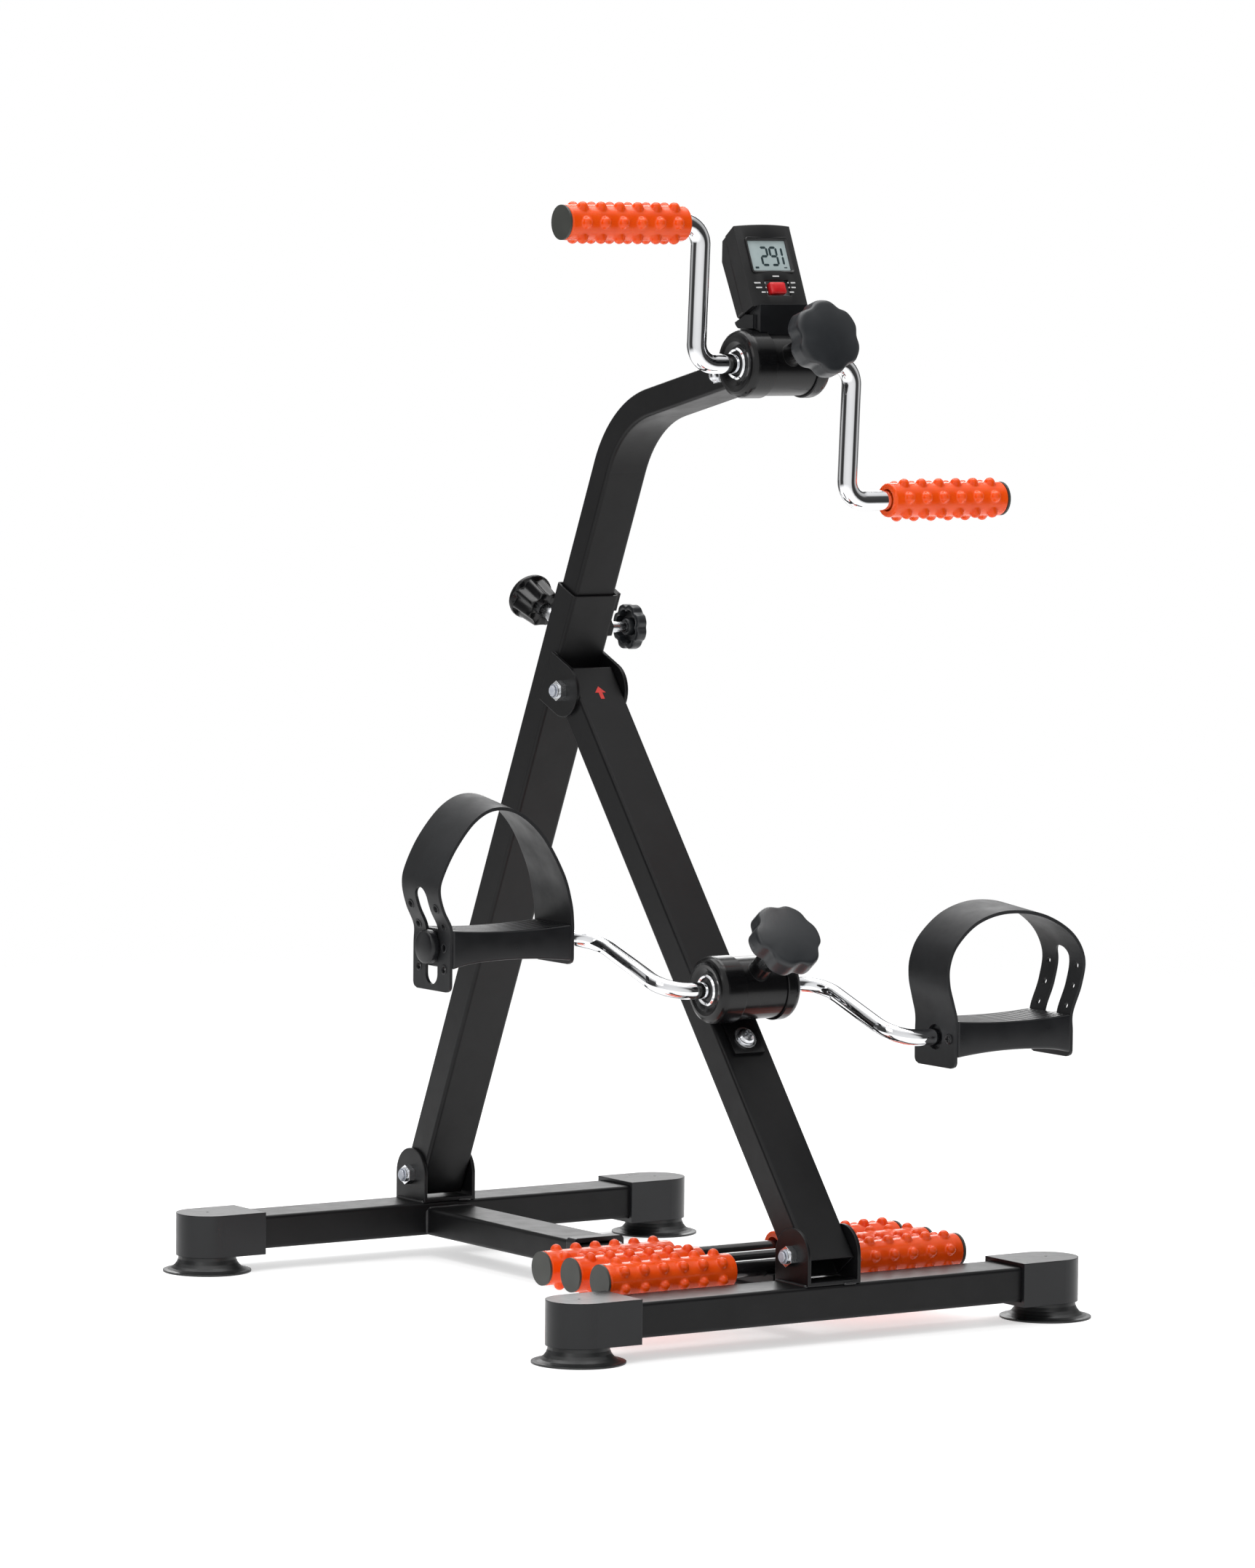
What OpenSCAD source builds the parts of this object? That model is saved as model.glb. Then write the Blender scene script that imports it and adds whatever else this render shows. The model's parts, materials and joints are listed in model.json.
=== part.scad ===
// Hand-and-foot pedal exerciser: a folding A-frame of rectangular tube that carries a foot crank with
// pedals on its front strut, a hand crank with grips on a height-adjustable mast, six massage rollers
// on the base, and a small counter display. Millimetres. X runs along the crank axes, -Y faces the
// seated user, +Z is up, and the origin is on the floor in the middle of the base.

/* [Base] */
// Distance between the centre lines of the front and rear base bars
base_depth = 500; // [490:1:520]
// Half distance between the two suction feet of one bar
foot_half = 202; // [196:1:215]
// Wide side of the frame tube
tube_w = 40; // [40:0.5:40.5]
// Narrow side of the frame tube
tube_t = 25; // [24:0.5:25]
// Wall thickness of the frame tube
tube_wall = 1.5; // [1.2:0.1:1.6]
// Height of the underside of the base bars above the floor
bar_z = 16; // [15:0.5:18]
// Height of the two lower frame pivots above the floor
pivot_z = 60.5; // [60:0.5:62]
// Outside radius of a suction cup
cup_r = 33; // [30:1:35]

/* [Frame] */
// Tilt of the rear upright from vertical, towards the user
upright_tilt = 23.9; // [22:0.1:25]
// Distance from the rear pivot to the top end of the upright
upright_len = 497.2; // [485:1:500]
// Distance from the rear pivot to the top hinge, along the upright
hinge_along = 429.7; // [425:0.5:435]
// Distance of the top hinge in front of the upright's centre line
hinge_out = 30.6; // [30:0.2:33]
// Distance from the rear pivot to the corner where the mast's two straight runs would meet
mast_corner = 639.3; // [630:1:650]
// Angle of the bend in the mast
mast_bend = 53.3; // [48:0.1:58]
// Centre-line radius of the bend in the mast
mast_bend_r = 84; // [70:1:100]
// Distance from the mast's corner to the hand crank axis
mast_reach = 180.5; // [170:1:195]

/* [Cranks] */
// Diameter of the hand crank rod
hand_rod_d = 14; // [12:0.5:15]
// Diameter of the foot crank rod
foot_rod_d = 12; // [11:0.5:13]
// Throw of both cranks
throw = 98; // [90:0.5:100]
// Distance of a crank arm's centre line from the middle plane
arm_x = 67.5; // [66:0.5:69]
// Lean of the left hand crank arm from vertical, towards the user
hand_crank_lean = 3; // [0:1:15]
// Angle of the left foot crank arm from vertical, towards the rear
foot_crank_lean = 71.3; // [60:0.1:80]
// Distance of the foot crank axis along the strut, from the front pivot
foot_axis_along = 199; // [185:1:215]
// Distance of the foot crank axis in front of the strut's centre line
foot_axis_out = 37; // [37:0.5:42]

/* [Grips and rollers] */
// Radius of a grip or roller sleeve without its bumps
sleeve_r = 12.3; // [11.5:0.1:13]
// Length of a hand grip sleeve
grip_len = 102; // [96:1:106]
// Length of a massage roller sleeve
roller_len = 108; // [100:1:110]
// Distance of the left grip's inner end from the middle plane
left_grip_x = 83; // [83:1:100]
// Distance of the right grip's inner end from the middle plane
right_grip_x = 103; // [83:1:105]
// Bumps in one row along a sleeve
bump_count = 6; // [5:1:6]
// Distance between bumps along a grip
grip_pitch = 15.3; // [14:0.1:15.5]
// Distance between bumps along a roller
roller_pitch = 16.6; // [15:0.1:17]
// Radius of one bump
bump_r = 4.1; // [3:0.1:4.3]
// Rows of bumps round a sleeve
bump_rows = 6; // [5:1:6]

/* [Pedals] */
// Distance of a pedal's inner face from the middle plane
pedal_x = 103; // [102:0.5:106]
// Length of a pedal along its spindle
pedal_len = 100; // [96:1:105]
// Depth of a pedal, from toe side to heel side
pedal_depth = 50; // [44:1:54]
// Height of a pedal at its ends
pedal_h = 26; // [24:0.5:28]

/* [Display] */
// Width of the display case
case_w = 48; // [44:1:50]
// Height of the display case along its face
case_h = 61; // [58:1:63]
// Tilt of the display face from vertical, towards the rear
case_tilt = 23.4; // [20:0.1:28]

/* [Hidden] */
$fn = 64;

// Colours
frame_black = [0.09, 0.09, 0.10];
plastic_black = [0.13, 0.14, 0.16];
orange = [0.94, 0.35, 0.12];
plug_grey = [0.20, 0.21, 0.19];
chrome = [0.82, 0.83, 0.85];
steel = [0.62, 0.63, 0.65];

// Clearances
fit = 0.05;      // between fixed parts and around turning shafts, per side
slide_gap = 0.1; // between parts that only nest
weld = 0.5;      // overlap where two runs of the mast join
swell = 0.02;    // extra thickness of the mast's bend on each face, so that the runs join cleanly

// Base
bar_top = bar_z + tube_t;
bar_half = foot_half - 6;
sleeve_end = 165;
cap_wall = 3;
cap_r = 23.4;
cap_top = bar_top + cap_wall;
cap_low = bar_z - 3.6;
cap_base = 12.4;
front_y = -base_depth / 2;
rear_y = base_depth / 2;
link_h = 20.5;
link_top = bar_z + link_h;
link_end = 28;
collar_len = 10.5;
inner_w = 34;
inner_h = 14.7;
inner_z = bar_z + (link_h - inner_h) / 2;
inner_top = inner_z + inner_h;
inner_end = 75;
snap_y = 1;
snap_r = 4;
snap_rise = 4.6;

// Clevises and pivot bolts
ear_in = tube_w / 2 + 0.2;
ear_t = 2.5;
ear_out = ear_in + ear_t;
ear_r = 20;
bolt_r = 4;
nut_af = 13;
nut_h = 7.2;
tube_tail = 11;

// Top hinge and strut, worked out from the upright
hinge_y = rear_y - hinge_along * sin(upright_tilt) - hinge_out * cos(upright_tilt);
hinge_z = pivot_z + hinge_along * cos(upright_tilt) - hinge_out * sin(upright_tilt);
strut_len = norm([hinge_y - front_y, hinge_z - pivot_z]);
strut_tilt = atan2(hinge_y - front_y, hinge_z - pivot_z);

// Mast
mast_w = 35;
mast_t = 20.5;
mast_wall = 1.5;
mast_foot = 300;
mast_tangent = mast_bend_r * tan(mast_bend / 2);
mast_rise = 90 - upright_tilt - mast_bend;
mast_cut = 24.6;
pin_along = 457.5;
pin_r = 3.5;
pin_shank_r = 5;
hole_pitch = 25;
holes_above = 3;
holes_below = 2;
clamp_along = 465;
clamp_near = 42;
clamp_h = 10.5;
clamp_knob_r = 17;

// Crank axes
hand_y = rear_y - mast_corner * sin(upright_tilt) - mast_reach * cos(mast_rise);
hand_z = pivot_z + mast_corner * cos(upright_tilt) + mast_reach * sin(mast_rise);
foot_y = front_y + foot_axis_along * sin(strut_tilt) - foot_axis_out * cos(strut_tilt);
foot_z = pivot_z + foot_axis_along * cos(strut_tilt) + foot_axis_out * sin(strut_tilt);
hand_screw_rise = 17.5;
foot_screw_rise = strut_tilt;

// Crank housings
barrel_r = 22.6;
barrel_in = 20.2;
barrel_half = 30.5;
housing_cap_r = 24.2;
housing_end = 34.5;
left_cap_len = 21;
right_cap_len = 12.5;
ring_r = 11.4;
ring_in = 9;
drum_r = 14;
drum_half = 17;
hand_rod_r = hand_rod_d / 2;
foot_rod_r = foot_rod_d / 2;
hand_bend_r = 15;
foot_bend_r = 22;
boss_top = 33;
plate_t = 3;
plate_half = 13;
plate_down = 41;
plate_up = 20;
mount_bolt_down = 29;
screw_r = 4;
pad_top = 19;
pad_gap = 2.6;
tension_knob_r = 26;
tension_knob_near = 55.5;
tension_knob_h = 17;

// Rollers
roller_r = 6;
roller_z = 46.5;
roller_rows = [-205, -168, -131];
cradle_top = 42.5;
roller_out = 155;
plug_t = 1.6;
plug_wall = 1;    // between the rod's end and the plug's outer face
cradle_half = 15;

// Shared shapes

// Rectangle with rounded corners, centred
module rounded_rect(w, h, r) {
    square([w - 2 * r, h], center = true);
    square([w, h - 2 * r], center = true);
    for (sx = [-1, 1])
        for (sy = [-1, 1])
            translate([sx * (w / 2 - r), sy * (h / 2 - r)])
                circle(r);
}

// Section of a rectangular tube, centred
module tube_section(w, h, wall, r = 2.6) {
    difference() {
        rounded_rect(w, h, r);
        rounded_rect(w - 2 * wall, h - 2 * wall, max(r - wall, 0.4));
    }
}

// Rectangular tube along +Z from z0 to z1
module tube_z(w, h, wall, z0, z1) {
    translate([0, 0, z0])
        linear_extrude(z1 - z0)
            tube_section(w, h, wall);
}

// Cylinder along X from x0 to x1
module rod_x(r, x0, x1) {
    translate([x0, 0, 0])
        rotate([0, 90, 0])
            cylinder(r = r, h = x1 - x0);
}

// Frame of the upright: Z up the tube from the rear pivot, Y square to its rear face
module on_upright() {
    translate([0, rear_y, pivot_z])
        rotate([upright_tilt, 0, 0])
            children();
}

// Frame of the strut: Z up the tube from the front pivot, Y square to its rear face
module on_strut() {
    translate([0, front_y, pivot_z])
        rotate([-strut_tilt, 0, 0])
            children();
}

// Frame of the hand crank axis, level with the floor
module on_hand_axis() {
    translate([0, hand_y, hand_z])
        children();
}

// Frame of the foot crank axis, level with the floor
module on_foot_axis() {
    translate([0, foot_y, foot_z])
        children();
}

// Frame whose +Z points out of a housing along its tension screw
module along_screw(rise) {
    rotate([90 - rise, 0, 0])
        children();
}

// Frame of the display: origin at the bottom of its face, Z up the face, Y into the case
module on_display() {
    translate([0, hand_y - 6, hand_z + 40.5])
        rotate([-case_tilt, 0, 0])
            children();
}

// Bolt along X with a domed head at +X and a lock nut at -X
module pivot_bolt() {
    rod_x(bolt_r, -ear_out - nut_h - 1.5, ear_out + 0.1);
    difference() {
        translate([ear_out + fit, 0, 0])
            rotate([0, 90, 0])
                rotate_extrude()
                    polygon([[0, 0], [7, 0], [6.6, 2], [5.6, 3.2], [4, 4], [0, 4.2]]);
        translate([ear_out + 2.4, 0, 0])
            rotate([0, 90, 0])
                cylinder(r = 2.9, h = 4, $fn = 6);
    }
    difference() {
        union() {
            rod_x_hex(nut_af / sqrt(3), -ear_out - 5.4, -ear_out - fit);
            rod_x(5.4, -ear_out - nut_h, -ear_out - 5.3);
        }
        rod_x(bolt_r + fit, -ear_out - 10, -ear_out + 1);
    }
}

// Hexagonal bar along X
module rod_x_hex(r, x0, x1) {
    translate([x0, 0, 0])
        rotate([0, 90, 0])
            cylinder(r = r, h = x1 - x0, $fn = 6);
}

// Clevis of two round-topped ears on a base plate that stands at height z0 below the pivot
module clevis(z0) {
    for (s = [-1, 1])
        translate([s * (ear_in + ear_t / 2), 0, 0])
            rotate([90, 0, 90])
                linear_extrude(ear_t, center = true)
                    difference() {
                        union() {
                            circle(ear_r);
                            translate([-ear_r, z0])
                                square([2 * ear_r, -z0]);
                        }
                        circle(bolt_r + fit);
                    }
    translate([-ear_in - 0.1, -ear_r, z0])
        cube([2 * ear_in + 0.2, 2 * ear_r, ear_t]);
}

// Base bar of one end of the frame, along X
module base_bar() {
    translate([0, 0, bar_z + tube_t / 2])
        rotate([90, 0, 90])
            linear_extrude(2 * bar_half, center = true)
                tube_section(tube_w, tube_t, tube_wall);
}

// Foot cap of one end of a bar: a sleeve over the tube that ends in a round post
module foot_cap() {
    difference() {
        union() {
            translate([sleeve_end, -cap_r, cap_low])
                cube([foot_half - sleeve_end, 2 * cap_r, cap_top - cap_low]);
            translate([foot_half, 0, cap_base])
                cylinder(r = cap_r, h = cap_top - cap_base);
        }
        translate([sleeve_end - 1, 0, bar_z + tube_t / 2])
            rotate([90, 0, 90])
                linear_extrude(bar_half + 1.2 - sleeve_end)
                    square([tube_w + 2 * slide_gap, tube_t + 2 * slide_gap], center = true);
        translate([foot_half, 0, cap_base - 1])
            cylinder(r = 6.1, h = 7.5);
        translate([foot_half, 0, cap_top - 0.8])
            cylinder(r = 1, h = 2);
    }
}

// Suction cup of one foot, with the stud that plugs into its cap
module suction_cup() {
    translate([foot_half, 0, 0])
        rotate_extrude($fn = 96)
            polygon(concat(
                [[0, 6.2], [14, 5.2], [cup_r - 9, 2.6], [cup_r - 5, 0], [cup_r, 0], [cup_r, 1.2]],
                [for (a = [0:15:90]) [cup_r - 0.6 - 11 * sin(a), 1.4 + (cap_base - 1.5) * (1 - cos(a))]],
                [[6, cap_base - 0.1], [6, cap_base + 6], [0, cap_base + 6]]
            ));
}

module at_foot_ends() {
    children();
    mirror([1, 0, 0])
        children();
}

// Sleeve along +X from the origin, with rings of round bumps
module bumpy_sleeve(len, bore, pitch, turn) {
    first = (len - (bump_count - 1) * pitch) / 2;
    difference() {
        union() {
            rod_x(sleeve_r, 0, len);
            for (row = [0:bump_rows - 1])
                for (i = [0:bump_count - 1])
                    rotate([row * 360 / bump_rows + turn, 0, 0])
                        translate([first + i * pitch, 0, sleeve_r - 0.2])
                            sphere(bump_r, $fn = 32);
        }
        rod_x(bore, -1, len + 1);
    }
}

// One bent crank rod: from the drum out along +X, up the arm along +Z, and out again as a spindle
module crank_rod(r, bend, end_x) {
    rod_x(r, 5, arm_x - bend);
    translate([arm_x - bend, 0, bend])
        rotate([90, 0, 0])
            rotate([0, 0, -90])
                rotate_extrude(angle = 90)
                    translate([bend, 0])
                        circle(r);
    translate([arm_x, 0, bend])
        cylinder(r = r, h = throw - 2 * bend);
    translate([arm_x + bend, 0, throw - bend])
        rotate([90, 0, 0])
            rotate([0, 0, 90])
                rotate_extrude(angle = 90)
                    translate([bend, 0])
                        circle(r);
    translate([0, 0, throw])
        rod_x(r, arm_x + bend, end_x);
}

module left_arm(lean) {
    rotate([lean, 0, 0])
        mirror([1, 0, 0])
            children();
}

module right_arm(lean) {
    rotate([lean + 180, 0, 0])
        children();
}

// Barrel of a crank housing with the boss for its tension screw
module housing_barrel(rise) {
    difference() {
        union() {
            rod_x(barrel_r, -barrel_half, barrel_half);
            along_screw(rise)
                cylinder(r = 8, h = boss_top);
        }
        rod_x(barrel_in, -barrel_half - 1, barrel_half + 1);
        along_screw(rise)
            cylinder(r = screw_r + fit, h = boss_top + 1);
    }
}

// Dished end cap at the +X end of a housing, with a skirt of the given length
module housing_cap(skirt) {
    e = housing_end;
    r = housing_cap_r;
    rotate([0, 90, 0])
        rotate_extrude($fn = 96)
            polygon(concat(
                [[barrel_r + fit, e - skirt], [r - 0.6, e - skirt], [r, e - skirt + 0.6]],
                [for (a = [0:15:90]) [r - 6 + 6 * cos(a), e - 6 + 6 * sin(a)]],
                [[r - 8.5, e - 0.6], [ring_r + 1.2, e - 2.6], [ring_r + fit, e - 2.6],
                 [ring_r + fit, barrel_half + fit], [barrel_r + fit, barrel_half + fit]]
            ));
}

// Chrome hub ring at the +X end of a housing
module hub_ring() {
    e = housing_end;
    rotate([0, 90, 0])
        rotate_extrude($fn = 96)
            polygon([[ring_in, barrel_half + 0.2], [ring_r, barrel_half + 0.2], [ring_r, e - 1],
                     [ring_r - 1, e], [ring_in + 1, e], [ring_in, e - 1]]);
}

// Plain bearing at the +X end of a housing, between the barrel, the hub ring and the rod
module hub_bearing(r) {
    rotate([0, 90, 0])
        rotate_extrude($fn = 96)
            polygon([[r + fit, drum_half + 1], [barrel_in - fit, drum_half + 1],
                     [barrel_in - fit, barrel_half], [ring_in - fit, barrel_half],
                     [ring_in - fit, housing_end - 3], [r + fit, housing_end - 1]]);
}

module both_ends() {
    children();
    mirror([1, 0, 0])
        children();
}

module housing_caps() {
    housing_cap(right_cap_len);
    mirror([1, 0, 0])
        housing_cap(left_cap_len);
}

// Drum that joins the two crank rods and takes the brake pad
module drum(r) {
    difference() {
        rod_x(drum_r, -drum_half, drum_half);
        rod_x(r + fit, 4.9, drum_half + 1);
        rod_x(r + fit, -drum_half - 1, -4.9);
    }
}

// Brake pad with a face curved to the drum, on the tip of the tension screw
module brake_pad(rise) {
    difference() {
        along_screw(rise)
            cylinder(r = screw_r - 0.1, h = pad_top);
        rod_x(drum_r + pad_gap, -20, 20);
    }
}

module tension_screw(rise) {
    along_screw(rise)
        translate([0, 0, pad_top + fit])
            cylinder(r = screw_r, h = tension_knob_near + 7.9 - pad_top);
}

// Lobed hand knob along +Z, hollow at the back round its hub
module lobed_knob(r, h, lobes, hub_r, bore_r, bore_h, crown) {
    difference() {
        intersection() {
            linear_extrude(h)
                lobed_outline(r, lobes);
            rotate_extrude($fn = 96)
                polygon(concat(
                    [[0, 0], [r - 1, 0], [r + 0.5, 1.5]],
                    [for (a = [0:15:90]) [r - crown + (crown + 0.5) * cos(a), h - crown + crown * sin(a)]],
                    [[0, h]]
                ));
        }
        difference() {
            translate([0, 0, -1])
                cylinder(r = r - 6.5, h = h * 0.55 + 1);
            translate([0, 0, -1])
                cylinder(r = hub_r, h = h + 1);
        }
        translate([0, 0, -1])
            cylinder(r = bore_r + fit, h = bore_h + 1);
    }
}

// Outline of a knob with shallow finger scallops
module lobed_outline(r, lobes) {
    difference() {
        circle(r, $fn = 96);
        for (i = [0:lobes - 1])
            rotate([0, 0, (i + 0.5) * 360 / lobes])
                translate([r + r * 0.36, 0])
                    circle(r * 0.45, $fn = 48);
    }
}

module tension_knob(rise) {
    along_screw(rise)
        translate([0, 0, tension_knob_near])
            lobed_knob(tension_knob_r, tension_knob_h, 6, 9, screw_r, 8, 5);
}

// Base, rear half

module rear_base_frame() {
    color(frame_black) {
        translate([0, rear_y, 0]) {
            base_bar();
            translate([0, 0, pivot_z])
                clevis(bar_top - pivot_z);
        }
        translate([0, rear_y - tube_w / 2 + 0.2, bar_z + link_h / 2])
            rotate([90, 0, 0])
                linear_extrude(rear_y - tube_w / 2 - link_end)
                    tube_section(tube_w, link_h, tube_wall);
    }
}

module rear_foot_caps() {
    color(plastic_black)
        translate([0, rear_y, 0])
            at_foot_ends()
                foot_cap();
}

module rear_suction_cups() {
    color(plastic_black)
        translate([0, rear_y, 0])
            at_foot_ends()
                suction_cup();
}

// Plastic collar over the open end of the rear link tube
module base_collar() {
    color(plastic_black)
        translate([0, link_end + collar_len - 1.6, bar_z + link_h / 2])
            rotate([90, 0, 0])
                difference() {
                    linear_extrude(collar_len)
                        rounded_rect(tube_w + 4, link_h + 4, 3.5);
                    translate([0, 0, -1])
                        linear_extrude(collar_len)
                            rounded_rect(tube_w + 2 * slide_gap, link_h + 2 * slide_gap, 2.6);
                    translate([0, 0, -1])
                        linear_extrude(collar_len + 2)
                            rounded_rect(tube_w - 2 * tube_wall, link_h - 2 * tube_wall, 1);
                }
}

module rear_pivot_bolt() {
    color(chrome)
        translate([0, rear_y, pivot_z])
            pivot_bolt();
}

// Base, front half

// Block on the inner link tube with half-round seats for the three roller rods
module roller_cradle() {
    y0 = roller_rows[0] - 12;
    y1 = roller_rows[2] + 12;
    difference() {
        translate([-cradle_half, y0, inner_top - 0.1])
            cube([2 * cradle_half, y1 - y0, cradle_top - inner_top + 0.1]);
        for (y = roller_rows)
            translate([0, y, roller_z])
                rod_x(roller_r + fit, -50, 50);
    }
}

module front_base_frame() {
    color(frame_black)
        difference() {
            union() {
                translate([0, front_y, 0]) {
                    base_bar();
                    translate([0, 0, pivot_z])
                        clevis(bar_top - pivot_z);
                }
                translate([0, inner_end, inner_z + inner_h / 2])
                    rotate([90, 0, 0])
                        linear_extrude(inner_end - front_y - tube_w / 2 + 0.2)
                            tube_section(inner_w, inner_h, tube_wall);
                roller_cradle();
            }
            translate([0, snap_y, inner_top - 4])
                cylinder(r = snap_r + fit, h = 8);
        }
}

module front_foot_caps() {
    color(plastic_black)
        translate([0, front_y, 0])
            at_foot_ends()
                foot_cap();
}

module front_suction_cups() {
    color(plastic_black)
        translate([0, front_y, 0])
            at_foot_ends()
                suction_cup();
}

module front_pivot_bolt() {
    color(chrome)
        translate([0, front_y, pivot_z])
            pivot_bolt();
}

// Spring button that stops the base from closing
module snap_button() {
    color(chrome)
        translate([0, snap_y, inner_top])
            rotate_extrude()
                polygon(concat(
                    [[0, -5], [5.5, -5], [5.5, -3.6], [snap_r, -3.4]],
                    [for (a = [0:15:90]) [snap_r * cos(a), snap_rise - snap_r + snap_r * sin(a)]]
                ));
}

module roller_rods() {
    color(frame_black)
        for (y = roller_rows)
            translate([0, y, roller_z])
                rod_x(roller_r, -roller_out + plug_wall, roller_out - plug_wall);
}

// Round plugs that close the outer ends of the rollers
module roller_end_plugs() {
    color(plug_grey)
        for (y = roller_rows)
            translate([0, y, roller_z])
                both_ends()
                    difference() {
                        rod_x(sleeve_r - 0.1, roller_out - plug_t, roller_out);
                        rod_x(roller_r + fit, roller_out - plug_t - 1, roller_out - plug_wall + fit);
                    }
}

module roller(row, turn) {
    color(orange)
        translate([roller_out - plug_t - slide_gap - roller_len, roller_rows[row], roller_z])
            bumpy_sleeve(roller_len, roller_r + slide_gap, roller_pitch, turn);
}

module roller_front_left() { mirror([1, 0, 0]) roller(0, 5); }
module roller_front_right() { roller(0, 35); }
module roller_middle_left() { mirror([1, 0, 0]) roller(1, 35); }
module roller_middle_right() { roller(1, 20); }
module roller_rear_left() { mirror([1, 0, 0]) roller(2, 5); }
module roller_rear_right() { roller(2, 0); }

// Upright

// Hinge ear of the upright, drawn with X up the tube and Y to the front
module hinge_ear() {
    difference() {
        union() {
            translate([hinge_along, hinge_out])
                circle(ear_r - 0.5);
            translate([hinge_along - ear_r + 0.5, 6])
                square([2 * ear_r - 1, hinge_out - 6]);
        }
        translate([hinge_along, hinge_out])
            circle(bolt_r + fit);
    }
}

module upright_frame() {
    color(frame_black)
        on_upright()
            difference() {
                union() {
                    tube_z(tube_w, tube_t, tube_wall, -tube_tail, upright_len);
                    for (s = [-1, 1])
                        translate([s * (ear_in + ear_t / 2 - 0.1), 0, 0])
                            rotate([0, -90, 180])
                                linear_extrude(ear_t + 0.2, center = true)
                                    hinge_ear();
                    translate([tube_w / 2 - 0.1, -9, upright_len - 14])
                        cube([3.5, 18, 14]);
                    translate([0, 0, clamp_along])
                        rod_x_hex(7.5, tube_w / 2 - 0.2, tube_w / 2 + 7);
                    translate([0, tube_t / 2 - 0.2, pin_along])
                        rotate([-90, 0, 0])
                            cylinder(r = 7, h = 10.2);
                }
                rod_x(bolt_r + fit, -30, 30);
                translate([0, 0, clamp_along])
                    rod_x(screw_r + fit, 10, 40);
                translate([0, 5, pin_along])
                    rotate([-90, 0, 0])
                        cylinder(r = pin_shank_r + fit, h = 25);
            }
}

module top_pivot_bolt() {
    color(chrome)
        translate([0, hinge_y, hinge_z])
            pivot_bolt();
}

// Fluted pull knob of the height pin, on the rear of the upright
module height_knob() {
    near = 44;
    len = 27;
    color(plastic_black)
        on_upright()
            translate([0, near, pin_along])
                rotate([-90, 0, 0])
                    difference() {
                        rotate_extrude($fn = 96)
                            polygon([[0, 0], [13.2, 0], [14.8, 1.5], [16.4, len - 6], [17.6, len - 5], [17.6, len - 3.4],
                                     [16.6, len - 1.4], [14, len - 0.3], [11, len], [0, len]]);
                        for (i = [0:7])
                            rotate([0, 0, i * 45])
                                translate([19.5, 0, -1])
                                    cylinder(r = 5.4, h = len - 5);
                        translate([0, 0, -1])
                            cylinder(r = pin_shank_r + fit, h = 11);
                    }
}

// Pin that locks the mast by dropping into one of its holes, drawn back clear of the mast
module height_pin() {
    color(chrome)
        on_upright()
            translate([0, mast_t / 2 + 0.1, pin_along])
                rotate([-90, 0, 0]) {
                    cylinder(r = pin_r, h = 5);
                    translate([0, 0, 4.4])
                        cylinder(r = pin_shank_r, h = 39);
                }
}

module clamp_knob() {
    color(plastic_black)
        on_upright()
            translate([clamp_near, 0, clamp_along])
                rotate([0, 90, 0])
                    lobed_knob(clamp_knob_r, clamp_h, 8, 6.5, screw_r, 6, 2.5);
}

module clamp_screw() {
    color(chrome)
        on_upright()
            translate([0, 0, clamp_along])
                rod_x(screw_r, mast_w / 2 + 0.1, clamp_near + 5.9);
}

// Mast

module mast_tube() {
    color(frame_black)
        difference() {
            on_upright() {
                tube_z(mast_w, mast_t, mast_wall, mast_foot, mast_corner - mast_tangent + weld);
                translate([0, -mast_bend_r, mast_corner - mast_tangent])
                    rotate([90, 0, 90])
                        rotate_extrude(angle = mast_bend)
                            translate([mast_bend_r, 0])
                                rotate([0, 0, 90])
                                    tube_section(mast_w + 2 * swell, mast_t + 2 * swell, mast_wall + 2 * swell);
                translate([0, 0, mast_corner])
                    rotate([mast_bend, 0, 0])
                        tube_z(mast_w, mast_t, mast_wall, mast_tangent - weld, mast_reach - mast_cut);
            }
            on_upright()
                height_holes();
            mast_bolt_hole();
        }
}

// Row of holes in the rear wall of the mast for the height pin
module height_holes() {
    for (k = [-holes_below:holes_above])
        translate([0, mast_t / 2 - 4, pin_along + k * hole_pitch])
            rotate([-90, 0, 0])
                cylinder(r = pin_r + slide_gap, h = 8);
}

// Frame of the bolt that ties the hand housing's tongue to the mast
module on_mast_bolt() {
    on_upright()
        translate([0, 0, mast_corner])
            rotate([mast_bend, 0, 0])
                translate([0, 0, mast_reach - 42])
                    children();
}

module mast_bolt_hole() {
    on_mast_bolt()
        rod_x(3 + fit, -30, 30);
}

// Hand crank unit

// Barrel with a tongue that plugs into the end of the mast
module upper_housing() {
    tongue_w = mast_w - 2 * mast_wall - 0.6;
    tongue_t = mast_t - 2 * mast_wall - 0.6;
    color(plastic_black)
        difference() {
            union() {
                on_hand_axis()
                    housing_barrel(hand_screw_rise);
                on_upright()
                    translate([0, 0, mast_corner])
                        rotate([mast_bend, 0, 0])
                            translate([0, 0, mast_reach - 62])
                                linear_extrude(62 - barrel_in - 0.8)
                                    offset(r = 2.5)
                                        square([tongue_w - 5, tongue_t - 5], center = true);
            }
            on_hand_axis()
                housing_cap_space();
            mast_bolt_hole();
        }
}

// Room kept free round the skirts of the end caps
module housing_cap_space() {
    difference() {
        rod_x(housing_cap_r + 0.3, -housing_end - 1, left_cap_len - housing_end + 0.3);
        rod_x(barrel_r, -housing_end - 2, 0);
    }
    difference() {
        rod_x(housing_cap_r + 0.3, housing_end - right_cap_len - 0.3, housing_end + 1);
        rod_x(barrel_r, 0, housing_end + 2);
    }
}

module upper_caps() {
    color(plastic_black)
        on_hand_axis()
            housing_caps();
}

module upper_hub_rings() {
    color(chrome)
        on_hand_axis()
            both_ends()
                hub_ring();
}

module upper_bearings() {
    color(plastic_black)
        on_hand_axis()
            both_ends()
                hub_bearing(hand_rod_r);
}

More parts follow.
